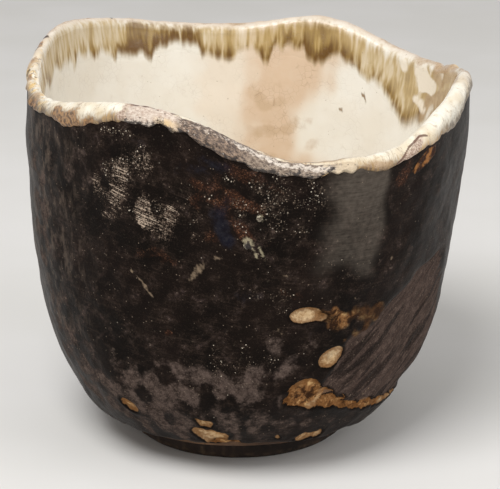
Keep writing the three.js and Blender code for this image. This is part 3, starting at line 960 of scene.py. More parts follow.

# %% [markdown]
# ## Black glaze
#
# The glaze is a near-black brown that shines softly. What makes it live is what lies in it: smoky
# streaks down the left side, a matt cut on the right, rust and blue-black clouds and brushed
# scratches. Two marks are painted light: a pale patch below the lip on the right is a painted
# reflection, and tiny painted glints stand for light caught where bubbles opened at the surface. The
# larger forms are painted on the points, and noise gives them their grain.

# %% Patches painted on the black glaze
BLACK_PAINTS = {
    "brushed": (0.9, 0.3, 82, [
        (236.8, 71.5, 15, 13, -20, 1), (239, 77, 13, 8, -5, 0.8), (248, 66.4, 18, 10, -16, 1.2),
        (253.5, 63.2, 9, 4.4, -16, 0.7), (233.8, 65.5, 7, 4.6, -10, 0.6), (297, 57.5, 14, 9, 8, 0.4),
        (243.5, 77.5, 10, 10, 0, 0.75), (60, 62, 22, 8, 10, 0.45), (112, 40, 20, 6, -12, 0.4),
        (155, 66, 16, 6, 4, 0.45),
    ]),
    "rust": (0.9, 0.5, 83, [
        (267.5, 77.5, 6, 13, 8, 0.9), (268.5, 70, 4.5, 11, -6, 0.7), (307.5, 83, 7.5, 8, 20, 0.8),
        (262.5, 74.5, 9, 3, 6, 0.9), (247.5, 57.5, 11.5, 6, -6, 0.5), (251, 40.8, 2.4, 2.4, 0, 1.2),
        (283, 53, 9, 5, 0, 0.4), (273, 84.5, 9, 5, 0, 0.5), (265.5, 76, 15, 20, 0, 0.5),
        (269, 82, 12, 8, 0, 0.6), (258.5, 77, 8, 3.4, 8, 0.7), (100, 74, 20, 14, 0, 0.7),
        (40, 30, 16, 10, 0, 0.6), (170, 50, 10, 20, 0, 0.5),
    ]),
    "navy": (0.9, 0.45, 84, [
        (264.6, 68.8, 7, 15, 5, 1.2), (257, 80.4, 9.5, 4.4, 4, 1), (262.6, 83.4, 6.5, 4, -12, 0.9),
        (268.5, 52.5, 10, 5, 0, 0.5), (243.8, 82.5, 4, 3.6, 0, 0.3), (80, 50, 14, 16, 0, 0.7),
    ]),
    "matt": (0.9, 0.5, 85, [
        (246.5, 25.2, 30, 12, -8, 0.9), (243, 19.5, 30, 13, -10, 0.85), (250, 13, 34, 11, 0, 0.8),
        (230, 20, 20, 20, -30, 0.7), (269, 27.5, 24, 12, 0, 0.9), (277.8, 36, 9, 8, 0, 0.8),
        (258, 29, 20, 9, 0, 0.8), (270, 17, 34, 12, 0, 0.7), (210, 30, 16, 44, 4, 0.5),
        (205, 62, 14, 38, 0, 0.6), (218, 22, 14, 20, -30, 0.7), (225, 75, 14, 14, 0, 0.4),
        (284, 34, 10, 8, 0, 0.5), (100, 24, 50, 14, 0, 0.7), (30, 22, 40, 12, 0, 0.6),
        (150, 55, 16, 30, 0, 0.5), (350, 66, 16, 20, 0, 0.35),
    ]),
    "dashes": (0.5, 0.2, 86, [
        (241.2, 54, 0.5, 2, 25, 1), (244.5, 51.1, 0.9, 7.4, 40, 0.9), (258.8, 57, 2.4, 9, -31, 0.75),
        (263.2, 61, 2.6, 1.2, 20, 0.8), (279.2, 59.4, 2.6, 0.6, 0, 0.8), (278.6, 43, 0.5, 4, 38, 0.7),
        (298.2, 49.4, 0.4, 2, 5, 0.9), (307.6, 58.6, 0.6, 3.2, 10, 0.6), (281, 77.8, 2, 0.6, 0, 0.7),
        (226.5, 70.8, 1.4, 0.8, 0, 0.7), (221, 48.9, 1.4, 1, 0, 0.5), (312, 20.6, 0.6, 5.2, -36, 0.8),
        (316, 16.4, 0.5, 3.4, -40, 0.7),
    ]),
    "scorched": (0.7, 0.2, 90, [
        (288, 24.5, 20, 14, 10, 1), (294, 33.8, 9, 7, 36, 0.35), (310, 16.8, 34, 9, -8, 0.9),
        (233.6, 18.2, 7, 6, 0, 0.6), (266, 9.4, 12, 4, 0, 0.8), (298, 20.6, 16, 8, 0, 1),
        (289.4, 46, 4, 4, 0, 0.6),
    ]),
    "loop": (0.5, 0.2, 91, [(315.6, 83.2, 9.6, 5.4, 24, 1)]),
    "halo": (0.6, 0.2, 89, [
        (270.2, 67.5, 2.9, 3.4, 0, 1), (272.1, 64.4, 0.8, 4.2, 22, 0.95), (273.5, 65, 0.8, 5.6, 24, 0.95),
        (272.4, 74.7, 2.4, 2.6, 0, 0.6), (270.9, 69.3, 2.6, 0.8, 0, 0.35),
    ]),
    # where the painted glints of light gather
    "glints": (0.9, 0.4, 87, [
        (277.5, 82, 24, 10, 0, 1.4), (275, 77, 20, 14, 0, 1), (239, 75.5, 14, 7, -5, 0.9),
        (247, 67, 16, 8, -12, 0.9), (268, 33, 28, 13, 0, 0.5), (280, 52, 15, 14, 0, 0.6),
        (292, 62.5, 12, 3, 8, 0.4), (236, 84.5, 15, 3.4, 0, 0.9), (243, 78, 12, 10, 0, 0.9),
        (262, 74.5, 9, 5, 0, 0.8), (264, 26, 22, 6, 0, 0.35), (284, 35, 14, 8, 0, 0.35),
        (256, 70, 12, 16, 0, 0.4), (120, 60, 30, 24, 0, 0.6), (60, 45, 30, 30, 0, 0.5),
        (20, 70, 20, 20, 0, 0.5), (160, 35, 30, 16, 0, 0.5),
    ]),
}


def sheen_patch(turn, level):
    """Painted sheen: a pale stretch below the lip that stands for a reflection, with soft upright sides."""
    wander = waves(turn, level, 6, 88)
    sides = soft(turn + 0.9 * wander, 283, 294) * (1 - soft(turn + 0.5 * wander, 301, 304.5))
    return sides * soft(level + 1.5 * wander, 52, 64) * (1 - 0.2 * soft(level, 80, 68))


turn, level = kept(black, "turn", "level")
keep(
    black,
    bare=bare_distance(turn, level),
    burnt=oval_distance(turn, level, BURNT_LUMPS) + 0.45 * waves(turn, level, 1.9, 72),
    charred=0.3 + 0.7 * soft(turn, 294, 302),
    # painted sheen: a pale patch that stands for a reflection below the lip
    smooth=sheen_patch(turn, level),
    cut=cut_area(turn, level),
    smoke=bump(between(turn, 204), 36) * soft(level, 14, 40),
    **layers(turn, level, BLACK_PAINTS),
)
print("Paints on the black glaze:", sorted(BLACK_PAINTS))

# %% Ground of the black glaze
glaze = Finish("black glaze", Specular_IOR_Level=0.18, IOR=1.2)
broad, middling, fine = (glaze.noise(size, detail=4) for size in (16, 4, 1.1))
grain = glaze.noise(0.4, detail=3, rough=0.75)
cloudy = middling.swing(1.2) + fine.swing(0.9)
seams = glaze.noise(1.5, detail=4, rough=0.7, twist=0.8)


def patchy(name):
    """A painted patch whose border is broken up by the clouds."""
    return (glaze.painted(name) + cloudy).slope(0.15, 0.85)


colour = glaze.mixed(broad.slope(0.35, 0.65), (9, 5, 4), (21, 13, 10))
colour = colour.coated(middling.slope(0.45, 0.72) * fine.slope(0.35, 0.62) * 0.6, (54, 42, 35))
wipes = glaze.noise(0.7, glaze.wall((14, 1), -6), detail=6, rough=0.72, twist=0.4)
colour = colour.coated(wipes.slope(0.5, 0.68) * middling.slope(0.35, 0.6) * 0.45, (60, 48, 41))
dust = grain.slope(0.5, 0.72) * (0.25 + middling.slope(0.4, 0.65) * 0.75)
colour = colour.coated(dust * 0.42, (84, 69, 59))
runny = glaze.noise(2.4, glaze.places((1, 1, 2.2)), detail=7, rough=0.72)
smoke = glaze.painted("smoke")
smoke = (smoke + broad.swing(1.2) * smoke) * runny.slope(0.46, 0.64)
colour = colour.coated(smoke.slope(0, 1) * 0.52, (102, 88, 77))

# %% Rust, blue-black and the painted sheen
rust = patchy("rust")
colour = colour.coated(rust * 0.75, (46, 26, 18))
rust_grain = rust * grain.slope(0.49, 0.66) * fine.slope(0.36, 0.56)
colour = colour.coated(rust_grain * 0.62, (142, 94, 66))
navy = (glaze.painted("navy") * 0.8 + cloudy * 1.5).slope(0.1, 1.1)
navy_colour = glaze.mixed(fine.slope(0.4, 0.62), (14, 17, 32), (32, 32, 40))
colour = colour.coated(navy * 0.85, navy_colour)
# Painted sheen: the pale patch below the lip is a reflection painted into the colour, broken by faint lines
patch = glaze.painted("smooth")
faint_lines = glaze.noise(0.5, glaze.wall((10, 1), -4), detail=4, rough=0.7)
sheen_share = patch * (0.62 + fine.swing(0.7) + faint_lines.swing(0.9) + broad.swing(0.5))
colour = colour.coated(sheen_share.slope(-0.1, 1.0), (92, 84, 76))

# %% Matt glaze and the pared cut
matt = patchy("matt")
mauve = glaze.noise(2.2, detail=7, rough=0.74)
matt_colour = glaze.mixed(mauve.slope(0.36, 0.66), (44, 35, 31), (102, 87, 80))
matt_colour = matt_colour.coated(grain.slope(0.46, 0.68) * 0.4, (136, 119, 108))
colour = colour.coated(matt * 0.75, matt_colour)
strokes = glaze.noise(0.9, glaze.wall((9, 1), STROKE_SLOPE), detail=6, rough=0.72, twist=0.3)
bands = glaze.noise(3.4, glaze.wall((6, 1), STROKE_SLOPE), detail=4)
cut = (glaze.painted("cut") + bands.swing(2.4) + cloudy * 0.3).slope(0.3, 0.9)
cut_colour = glaze.mixed(strokes.slope(0.3, 0.62), (48, 38, 34), (74, 60, 54))
cut_colour = cut_colour.coated(mauve.slope(0.48, 0.64) * 0.6, (104, 87, 79))
cut_colour = cut_colour.coated(bands.slope(0.49, 0.41) * 0.75, (27, 20, 18))
cut_colour = cut_colour.coated(grain.slope(0.52, 0.7) * 0.4, (134, 116, 104))
colour = colour.coated(cut * 0.92, cut_colour)

# %% Brushed scratches
lines = glaze.noise(0.3, glaze.wall((26, 1), -12), detail=3, rough=0.7)
broken = glaze.noise(0.5, glaze.wall((3, 1), -12), detail=4, rough=0.8)
brushed = (glaze.painted("brushed") + cloudy * 1.3 + broken.swing(1.2)).slope(0.2, 1.0)
scratched = brushed * (lines * 0.9 + grain * 0.6 + broken * 0.4 + brushed * 0.15).slope(1.09, 1.26)
dusty = brushed * grain.slope(0.46, 0.66)
colour = colour.coated(dusty * 0.62, (122, 102, 88))
colour = colour.coated(scratched * 0.92, (192, 172, 152))

# %% Burnt lumps, with the golden crust on them
burnt = (glaze.painted("burnt") + middling.swing(1.8)).slope(-0.8, 0.6)
lumps = glaze.noise(2.3, detail=5, rough=0.62, twist=0.5)
golden = glaze.mixed(lumps.slope(0.4, 0.52), (54, 34, 20), (140, 98, 60))
golden = golden.coated(lumps.slope(0.52, 0.66), (208, 168, 116))
golden = golden.coated(seams.slope(0.5, 0.36) * 0.8, (60, 40, 26))
charred = (glaze.painted("charred") + middling.swing(1.2)).slope(0.0, 1.0)
colour = colour.coated(burnt * 0.9, golden.coated(charred * 0.8, (48, 32, 22)))
loop = (glaze.painted("loop") + fine.swing(0.8)).slope(0.2, 0.5)
fiery = glaze.noise(1.8, detail=4, rough=0.6).slope(0.44, 0.62)
colour = colour.coated(loop * 0.9, glaze.mixed(fiery, (54, 30, 18), (160, 108, 60)))

# %% Painted glints of light, and pale streaks
# Painted highlights: glints of light where bubbles opened, drawn as pale specks and a faint haze
flash = glaze.noise(1.6, detail=2).slope(0.36, 0.48)
glinting = (glaze.painted("glints") + cloudy * 0.6).slope(0.1, 1.0)
glint_specks = glaze.specks(0.34, 0.01 + glinting * 0.8) * flash * grain.slope(0.3, 0.6)
faint_glint_specks = glaze.specks(0.27, 0.08 + glinting * 1.3) * flash
glint_haze = glaze.noise(0.5, detail=2, rough=0.6).slope(0.54, 0.68) * glinting * flash
colour = colour.coated(glint_haze * 0.45, (112, 98, 84))
colour = colour.coated(faint_glint_specks * 0.65, (140, 124, 108))
colour = colour.coated(glint_specks, (208, 196, 178))
dashes = (glaze.painted("dashes") + fine.swing(1.6)).slope(0.3, 1.0)
colour = colour.coated(dashes * 0.65, (150, 130, 108))
halo = (glaze.painted("halo") + fine.swing(1.1) + grain.swing(1.4)).slope(0.25, 1.0)
colour = colour.coated(halo * 0.85, (160, 150, 124))

# %% Bare clay in the glaze
scorched = (glaze.painted("scorched") + fine.swing(0.6)).slope(0.1, 0.8)
bare_by = glaze.painted("bare") + (fine - 0.5) * (0.5 + scorched)
is_bare = bare_by.slope(-0.08, 0.16)
bare_clay, sand = sandy(glaze, (232, 208, 170), (192, 158, 116))
bare_clay = bare_clay.coated(seams.slope(0.46, 0.62) * 0.55, (148, 104, 60))
bare_clay = bare_clay.coated(scorched, golden)
rim = (bare_by + fine.swing(2.6) + middling.swing(1.2)).slope(1.5, 0.2)
bare_clay = bare_clay.coated(rim * 0.8, (116, 78, 44))
colour = colour.coated(bare_by.slope(-0.8, -0.1) * 0.85, (12, 7, 5))
colour = colour.coated(is_bare, bare_clay)

# %% Roughness and relief of the black glaze
roughness = 0.38 + matt * 0.3 + cut * 0.3 + scratched * 0.2 + burnt * 0.25 + is_bare * 0.45 + fine.swing(0.25)
pits = glaze.cells(1.4).slope(0.0, 0.22)
height = middling * 0.4 + fine * 0.3 + pits * 0.1 + scratched * 0.2 + cut * strokes * 0.8
height = height + burnt * seams * 1.2
height = height + (sand * 0.7 + seams * 0.4 + lumps * scorched * 0.8) * is_bare + loop * seams + wipes * 0.15
glaze.dress(black, colour=colour, roughness=roughness, height=height, depth=0.22)

# %% [markdown]
# ## Cream glaze, brown runs and the lining
#
# The cream glaze inside is milky and crackled, with a warm blush where the flame reached it. The
# brown glaze stained it in streaks. The lip, the runs and the lining share one set of patches, so
# that one coat passes into the next without a line.

# %% Patches painted inside
INSIDE_PAINTS = {
    "white": (0.6, 0.5, 95, [
        (32, 87.4, 19, 7.6, 4, 1.1), (33, 83.6, 11, 8, 10, 1), (30.5, 80, 6, 7, 0, 0.9),
    ]),
    "smudge": (0.9, 0.5, 93, [
        (84, 68.5, 11, 7.5, -25, 0.9), (89, 72, 8, 6, 0, 0.5), (78, 61.5, 20, 5.5, -8, 0.8),
        (90, 62, 8, 6, 10, 0.6), (68, 58, 8, 5, 0, 0.6), (80, 52, 16, 7, 0, 0.6),
    ]),
    "taupe": (1, 0.4, 100, [
        (21.5, 81.5, 14, 12, 0, 1.1), (19.5, 87, 18, 13, 0, 1.3), (11, 85, 16, 14, 0, 1.1),
        (27, 77.4, 12, 8, 10, 1), (12, 80, 16, 13, 0, 0.9),
    ]),
    "iron": (0.5, 0.1, 94, [
        (53.5, 74.6, 1.6, 1.7, 25, 1), (52.4, 73, 0.8, 1.8, -20, 0.6), (60, 68.8, 1.7, 1.3, 10, 0.8),
    ]),
}
BLUSH_EDGE = [(40, 64), (50, 66), (57, 68.5), (63, 71.5), (68, 70.5), (72, 66), (78.5, 60.5), (86, 56)]
RUN_STARTS = [
    (0, 5), (12, 1.6), (20, 1.6), (28, 2.4), (40, 2.4), (50, 2.6), (60, 2), (88, 2), (95, 1.6), (104, 1),
    (116, 1), (128, 1.6), (134, 0.8), (140, 0.6), (158, 0.8), (170, 2.5), (190, 4), (250, 4), (300, 4.5),
    (340, 5),
]
RUN_SOLID = [
    (0, 0.55), (12, 0.5), (20, 0.55), (27, 0.6), (29, 0.75), (34, 0.7), (42, 0.65), (50, 0.6), (62, 0.65),
    (67, 1), (73, 1), (76, 0.7), (86, 0.75), (89, 0.35), (94, 0.3), (96.4, 0.85), (98, 0.55), (104, 0.6),
    (106, 1), (126, 1.05), (129.5, 0.85), (135, 0.45), (139, 0.4), (141, 0.7), (143, 0.4), (156, 0.45),
    (170, 0.5), (190, 0.6), (230, 0.7), (270, 0.55), (310, 0.7), (340, 0.5),
]


def warm_areas(turn, level):
    """The beige stretch of the far wall, and the blush in the middle of it."""
    wander = 1.5 * waves(turn, level, 9, 91) + 0.9 * waves(turn, level, 3.5, 92)
    right = np.interp(level, *zip(*BLUSH_EDGE))
    start = 107.5 - soft(level, 80, 87) * 3 + 0.3 * wander
    beige = soft(turn + 1.5 * wander, start + 2, start - 5) * soft(turn - right + wander, -4, 5)
    pink = (1 - soft(turn + wander, 84, 99)) * soft(turn - right + wander, -2, 8) * soft(level, 36, 48)
    return beige * soft(level, 26, 44), pink * (1 - 0.35 * soft(level, 80, 86))


HIGHEST, DEEPEST = 9.0, 6.0
for piece in (cream_lip, runs, lining):
    turn, level, place = kept(piece, "turn", "level", "place")
    within = soft(place, 1.2, 2.6)
    beige, blush = warm_areas(turn, level)
    paints = {"beige": beige, "blush": blush, **layers(turn, level, INSIDE_PAINTS)}
    keep(
        piece,
        over=np.where(place < 0, HIGHEST, np.clip(level - run_end(turn), -HIGHEST, HIGHEST)),
        under=np.clip(place - eased(RUN_STARTS, turn), -DEEPEST, DEEPEST),
        solid=eased(RUN_SOLID, turn),
        calm=bump(between(turn, 34), 18),
        **{name: paint * within for name, paint in paints.items()},
    )
    print("Paints on", piece.name + ":", sorted(paints))

# %% Milky ground of the cream glaze
def milky(finish, middling):
    """Cream with its beige and pink areas, smudges and crackle, and the height of these."""
    broad = finish.noise(14, detail=3)
    colour = finish.mixed(broad.slope(0.35, 0.7) * 0.6, (237, 232, 221), (228, 219, 203))
    colour = colour.coated(finish.painted("beige") * 0.85, (229, 216, 198))
    blush = finish.painted("blush")
    blush = (blush + middling.swing(0.8) * blush).slope(0.0, 1.1)
    colour = colour.coated(blush * 0.9, (212, 184, 155))
    smudge = (finish.painted("smudge") + middling.swing(1.2)).slope(0.2, 1.0)
    colour = colour.coated(smudge * 0.65, (194, 166, 134))
    crackle = finish.cells(1.5, feature="DISTANCE_TO_EDGE").slope(0.05, 0.0)
    crackle = crackle * finish.noise(6, detail=2).slope(0.42, 0.62)
    colour = colour.coated(crackle * (0.11 + blush * 0.22), (150, 118, 88))
    return colour, broad * 0.4 + middling * 0.3 - crackle * 0.15


# %% Brown glaze that ran over the cream
def run_down(finish, colour, middling):
    """The brown runs between their starts and their drips. Gives their streaks and cover too."""
    wide = finish.noise(1.6, finish.places((1, 1, 9)), detail=1)
    narrow = finish.noise(0.8, finish.places((1, 1, 10)), detail=1)
    streaks = wide - 0.5 + narrow.swing(0.6)
    over, under, solid, calm = (finish.painted(name) for name in ("over", "under", "solid", "calm"))
    drips = (wide.swing(2.4) + narrow.swing(0.8)) * (1.0 - calm * 0.8)
    lower = (over + drips + middling.swing(1.6)).slope(-1.2 - calm, calm * 1.2 + 1.8)
    covered = lower * (under + streaks * 6 + middling.swing(2.5)).slope(-1.8, 2.4)
    low_down = over.slope(6.0, 0.5)
    colour = colour.coated(covered * (0.4 + solid * 0.3).slope(0.0, 1.0), (201, 177, 130))
    gated = (streaks * 1.5 + solid.swing(0.9) + low_down * 0.1).slope(-0.3, 0.32)
    run = covered * gated * (0.45 + low_down * 0.35 + solid * 0.35).slope(0.0, 1.1)
    dark = low_down * 0.5 + streaks * 1.3 + (solid - 0.6) * 1.2 + middling.swing(0.6)
    brown = finish.mixed(dark.slope(-0.1, 1.0), (178, 147, 80), (105, 73, 29))
    return colour.coated(run, brown), streaks, run


# %% Cream glaze with all that lies in it
def creamy(finish):
    """Colour, roughness and height of the cream glaze."""
    middling, fine = finish.noise(3.2, detail=4), finish.noise(0.9, detail=3)
    colour, height = milky(finish, middling)
    colour, streaks, run = run_down(finish, colour, middling)
    taupe = (finish.painted("taupe") + middling.swing(0.8)).slope(0.05, 0.65)
    flat_brown = finish.mixed(middling.slope(0.35, 0.65), (188, 164, 132), (166, 139, 103))
    colour = colour.coated(taupe * 0.93, flat_brown)
    white = (finish.painted("white") * (1.0 + middling.swing(2.2) + streaks * 1.6)).slope(0.1, 0.85)
    colour = colour.coated(white * 0.96, (238, 228, 211))
    iron = (finish.painted("iron") + fine.swing(0.8)).slope(0.15, 0.8)
    colour = colour.coated(iron * 0.9, (130, 102, 66))
    pinholes = finish.specks(0.3, 0.03)
    colour = colour.coated(pinholes * 0.5, (150, 128, 100))
    return colour, 0.24 + middling.swing(0.12), height - pinholes * 0.3 + run * 0.1


for name, piece in (("cream lining", lining), ("brown runs", runs)):
    inner_finish = Finish(name, Specular_IOR_Level=0.4)
    colour, roughness, height = creamy(inner_finish)
    inner_finish.dress(piece, colour=colour, roughness=roughness, height=height, depth=0.2)

# %% [markdown]
# ## The lip
#
# On the crest the cream glaze is thick and yellowish. Fine brown cracks cross it from inside to
# outside. Its lower edge outside is amber where it thins over the black, with a few dark blots.

# %% Patches painted on the lip
LIP_PAINTS = {
    "blot": (0.9, 0.3, 95, [
        (222.4, 5.3, 16.5, 8, 0, 1.7), (213, 5.4, 13, 4.6, 0, 0.8), (204, 4.2, 9, 6.4, 0, 0.75),
        (197, 3.4, 5, 4, 0, 0.7), (168, 0.6, 5, 2.6, 0, 0.7), (177, 1.2, 6, 3, 0, 0.7),
        (186, 2.2, 5, 3, 0, 0.6), (140, 0.2, 6, 2.4, 0, 0.4),
    ]),
    "sugary": (0.5, 0.25, 96, [
        (245, 1.6, 17, 7.5, 0, 1), (239.5, 3.2, 7, 3.6, 0, 0.6), (309.4, 3.2, 10, 4.2, 26, 0.75),
    ]),
    "hollow": (0.8, 0.8, 97, [
        (132, 0, 1.6, 4, 0, 0.8), (137.5, 0, 1.2, 3, 0, 0.9), (152, 1, 1, 3, 0, 0.5),
        (158, 1.2, 2.4, 4, 0, 1), (163.5, 1.8, 2.8, 4, 0, 1), (170, 1.6, 1.6, 3, 0, 0.8),
        (181, 2.6, 2, 2.6, 0, 0.7),
    ]),
    "tan": (0.9, 0.3, 98, [
        (33, -0.5, 18, 6, 0, 0.7), (21, -1, 7, 4, 0, 0.8), (15, 2, 6, 4, 0, 0.8), (178, 1, 9, 7, 0, 0.6),
        (188, 2, 6, 5, 0, 0.6), (150, 1.6, 24, 6, 0, 0.7), (125, 1.4, 26, 5, 0, 0.7),
        (98, 1.4, 20, 5, 0, 0.6), (70, 1.4, 26, 5, 0, 0.5), (48, 1.4, 20, 5, 0, 0.5),
        (2, 1.6, 22, 5, 0, 1.1), (350, 5, 20, 5, 0, 0.5), (299, 3.6, 10, 4.5, 0, 0.9),
        (290, 2.5, 8, 3.5, 0, 0.6), (251, 3.2, 4, 3, 0, 0.9), (203, 3, 14, 8, 0, 0.9),
        (22, -0.5, 22, 6, 0, 1), (298, 3.8, 30, 5, 0, 1.2), (24, -1, 18, 7, 0, 1.3), (14, 1, 8, 5, 0, 1),
        (280, -0.4, 34, 2.6, 0, 1.2), (2, -0.6, 14, 3, 0, 1), (349, -1.6, 22, 2.4, 0, 1),
    ]),
    "aged": (0.9, 0.3, 99, [
        (186, 1, 34, 12, 0, 1), (207, 3, 20, 9, 0, 0.8), (20, 0, 20, 7, 0, 0.9), (335, 6.5, 34, 5, 0, 0.4),
    ]),
}
FAR_LIP = [(0, 0.4), (30, 0.7), (60, 0.8), (120, 1), (160, 0.7), (185, 0.2), (200, 0), (330, 0)]
LIP_LINE = [
    (238, 0), (241, 0.9), (252, 0.9), (254.5, 0), (258, 0.1), (261, 1), (273, 1), (281, 0.7), (300, 0.45),
    (306, 0),
]
LOOP_LINE = [(303, 4.6), (306, 3.2), (309, 1.6), (313, 1.1), (316, 2.6)]
FEATHERED = [
    (188, 0), (195, 1), (208, 1), (216, 0.6), (228, 0.35), (238, 0.2), (242, 0), (290, 0), (296, 0.5),
    (304, 0.5), (309, 0), (318, 0), (327, 1), (350, 1), (368, 0),
]


def lifted(border, ragged, seed, daubs):
    """A paint whose heights are distances below the crest, on the outside."""
    return border, ragged, seed, [(at, LIP_HEIGHT - down, *rest) for at, down, *rest in daubs]


turn, place = kept(cream_lip, "turn", "place")
keep(
    cream_lip,
    above=place + skirt_edge(turn),
    within=soft(place, 0.4, 2.6),
    line=along(LIP_LINE, turn) * bump(place - 0.4 + 0.12 * waves(turn, 0, 2, 99), 0.55),
    loop_line=bump(place + along(LOOP_LINE, turn), 0.5) * soft(turn, 303, 305) * (1 - soft(turn, 314.5, 316)),
    feather=along(FEATHERED, turn),
    far=eased(FAR_LIP, turn) * (0.6 + 0.4 * soft(place, 0.9, -0.6)),
    **layers(turn, LIP_HEIGHT + place, {name: lifted(*paint) for name, paint in LIP_PAINTS.items()}),
)
print("Paints on the lip:", sorted(LIP_PAINTS))

# %% Ground of the lip glaze
lip_glaze = Finish("cream lip", Specular_IOR_Level=0.4)
inner_colour, _, inner_height = creamy(lip_glaze)
broad, fine = lip_glaze.noise(7, detail=4), lip_glaze.noise(0.8, detail=4)
colour = lip_glaze.mixed(broad.slope(0.38, 0.62), (242, 236, 220), (224, 210, 184))
mottle = lip_glaze.noise(1.8, detail=5, rough=0.65)
colour = colour.coated(mottle.slope(0.54, 0.7) * 0.5, (180, 154, 118))
cross_cracks = lip_glaze.noise(0.6, lip_glaze.wall((1, 6)), detail=5, rough=0.68, twist=0.8)
above = lip_glaze.painted("above")
cracks = cross_cracks.slope(0.53, 0.64) * above.slope(7.0, 2.0) * mottle.slope(0.35, 0.55)
colour = colour.coated(cracks * 0.75, (128, 94, 56))
colour = colour.coated(lip_glaze.painted("far") * 0.95, (197, 174, 155))
aged = (lip_glaze.painted("aged") + broad.swing(1.2)).slope(0.05, 0.75)
colour = colour.coated(aged * mottle.slope(0.42, 0.56) * 0.8, (222, 186, 116))
colour = colour.coated(aged * fine.slope(0.54, 0.66) * 0.8, (98, 72, 48))
colour = colour.coated(lip_glaze.painted("within"), inner_colour)

# %% Tan stains, amber fringe and blots
tan = (lip_glaze.painted("tan") + mottle - 0.5 + fine.swing(0.8)).slope(0.1, 0.9)
colour = colour.coated(tan * 0.85, (176, 147, 114))
tan_specks = lip_glaze.noise(0.5, detail=3, rough=0.8).slope(0.56, 0.66) * tan
colour = colour.coated(tan_specks * 0.7, (122, 88, 58))
feather = lip_glaze.painted("feather")
reach = cross_cracks * (4.0 + feather * 4.0) + mottle * feather * 7 - 2.1 - feather * 6.0
fringe = (above + broad.swing(3.0) + reach).slope(2.8, 0.4)
amber = lip_glaze.mixed(cross_cracks.slope(0.4, 0.62), (190, 152, 96), (92, 62, 34))
amber = amber.coated(feather * 0.85, (66, 54, 42))
colour = colour.coated(fringe * 0.92, amber)
blot = (lip_glaze.painted("blot") + fine.swing(1.2)).slope(0.15, 0.6)
blot_colour = lip_glaze.mixed(fine.slope(0.4, 0.6), (84, 57, 36), (164, 124, 82))
colour = colour.coated(blot * 0.92, blot_colour)

# %% Sugary stretch, thin lines and hollows
sugar_grain = lip_glaze.noise(0.45, detail=3, rough=0.8)
sugary = (lip_glaze.painted("sugary") + fine.swing(0.5)).slope(0.25, 0.6)
sugar = lip_glaze.mixed(sugar_grain.slope(0.4, 0.62), (142, 114, 98), (214, 194, 176))
colour = colour.coated(sugary * 0.9, sugar)
line = (lip_glaze.painted("line") + fine.swing(0.9)).slope(0.25, 0.7)
colour = colour.coated(line * 0.85, (84, 54, 50))
loop_line = (lip_glaze.painted("loop_line") + fine.swing(0.5)).slope(0.25, 0.6)
colour = colour.coated(loop_line * 0.85, (92, 58, 42))
dark = (lip_glaze.painted("hollow") + fine.swing(1.6)).slope(0.2, 0.9)
colour = colour.coated(dark, (56, 38, 30))
roughness = 0.3 + sugary * 0.35 + dark * 0.2 + fine.swing(0.2)
height = broad * 0.4 + fine * 0.15 - cracks * 0.15 + sugary * sugar_grain * 0.5 - dark + inner_height * 0.2
lip_glaze.dress(cream_lip, colour=colour, roughness=roughness, height=height, depth=0.25)

# %% [markdown]
# ## Grey crust
#
# A metallic grey skin, grainy as wet sugar, with brown pits and a thin dark line where it ends on
# the cream. Its glints and the highlight band along its inner part are painted highlights.

# %% Places painted on the grey crust
turn, place = kept(crust, "turn", "place")
crust_low, crust_high = crust_edges(turn)
# Painted highlight: how strong the painted highlight band along the crust is, turn by turn
HIGHLIGHTS = [(238, 0.2), (250, 0.3), (255, 0.5), (262, 0.4), (268, 0.8), (276, 1), (286, 0.9), (296, 0.3)]
keep(
    crust,
    inner=crust_high - place,
    outer=place - crust_low,
    paler=soft(turn, 254.5, 252.5),
    creamy=bump(turn - 251, 4) * soft(-place, 1.6, 2.6),
    bright=along(HIGHLIGHTS, turn) * bump(crust_high - place - 1.5, 1.3),
    darker=soft(turn, 253.5, 255) * (1 - soft(turn, 266, 272)),
    fading=soft(turn, 282, 293) + soft(turn, 243, 238),
)

# %% Grey crust finish
grey_skin = Finish("grey crust", Specular_IOR_Level=0.55)
grain = grey_skin.noise(0.55, grey_skin.wall((1.8, 1)), detail=4, rough=0.85)
fine, middling = grey_skin.noise(1.4, detail=4), grey_skin.noise(2.6, detail=3)
inner, outer, darker = (grey_skin.painted(name) for name in ("inner", "outer", "darker"))
colour = grey_skin.mixed(grain.slope(0.36, 0.62), (78, 62, 52), (182, 163, 144))
colour = colour.coated(middling.slope(0.42, 0.62) * 0.3, (128, 108, 90))
deep = grey_skin.mixed(grain.slope(0.42, 0.64), (60, 45, 38), (160, 133, 110))
colour = colour.coated(darker * 0.85, deep)
pale = grey_skin.mixed(grain.slope(0.38, 0.6), (186, 161, 143), (230, 215, 199))
colour = colour.coated(grey_skin.painted("paler"), pale)
colour = colour.coated(grey_skin.painted("creamy") * fine.slope(0.3, 0.5), (226, 196, 150))
# Painted highlight: the shine on the crust is pale colour, not a reflection of a lamp
shine = (grey_skin.painted("bright") + grain.swing(3.2) + fine.swing(1.6)).slope(0.4, 1.15)
colour = colour.coated(shine * 0.85, (240, 228, 214))
edge = (inner + fine.swing(0.8)).slope(0.75, 0.2)
colour = colour.coated(edge * (0.45 + darker * 0.5), (58, 38, 36))
fading = (grey_skin.painted("fading") + fine.swing(2.0) + grain.swing(0.8)).slope(0.3, 0.8)
colour = colour.coated(fading * 0.9, (214, 194, 164))
hem = (outer + fine.swing(4.0) + grain.swing(3.5)).slope(1.3, 0.5)
colour = colour.coated(hem * (0.9 - fading * 0.6), (34, 25, 22))
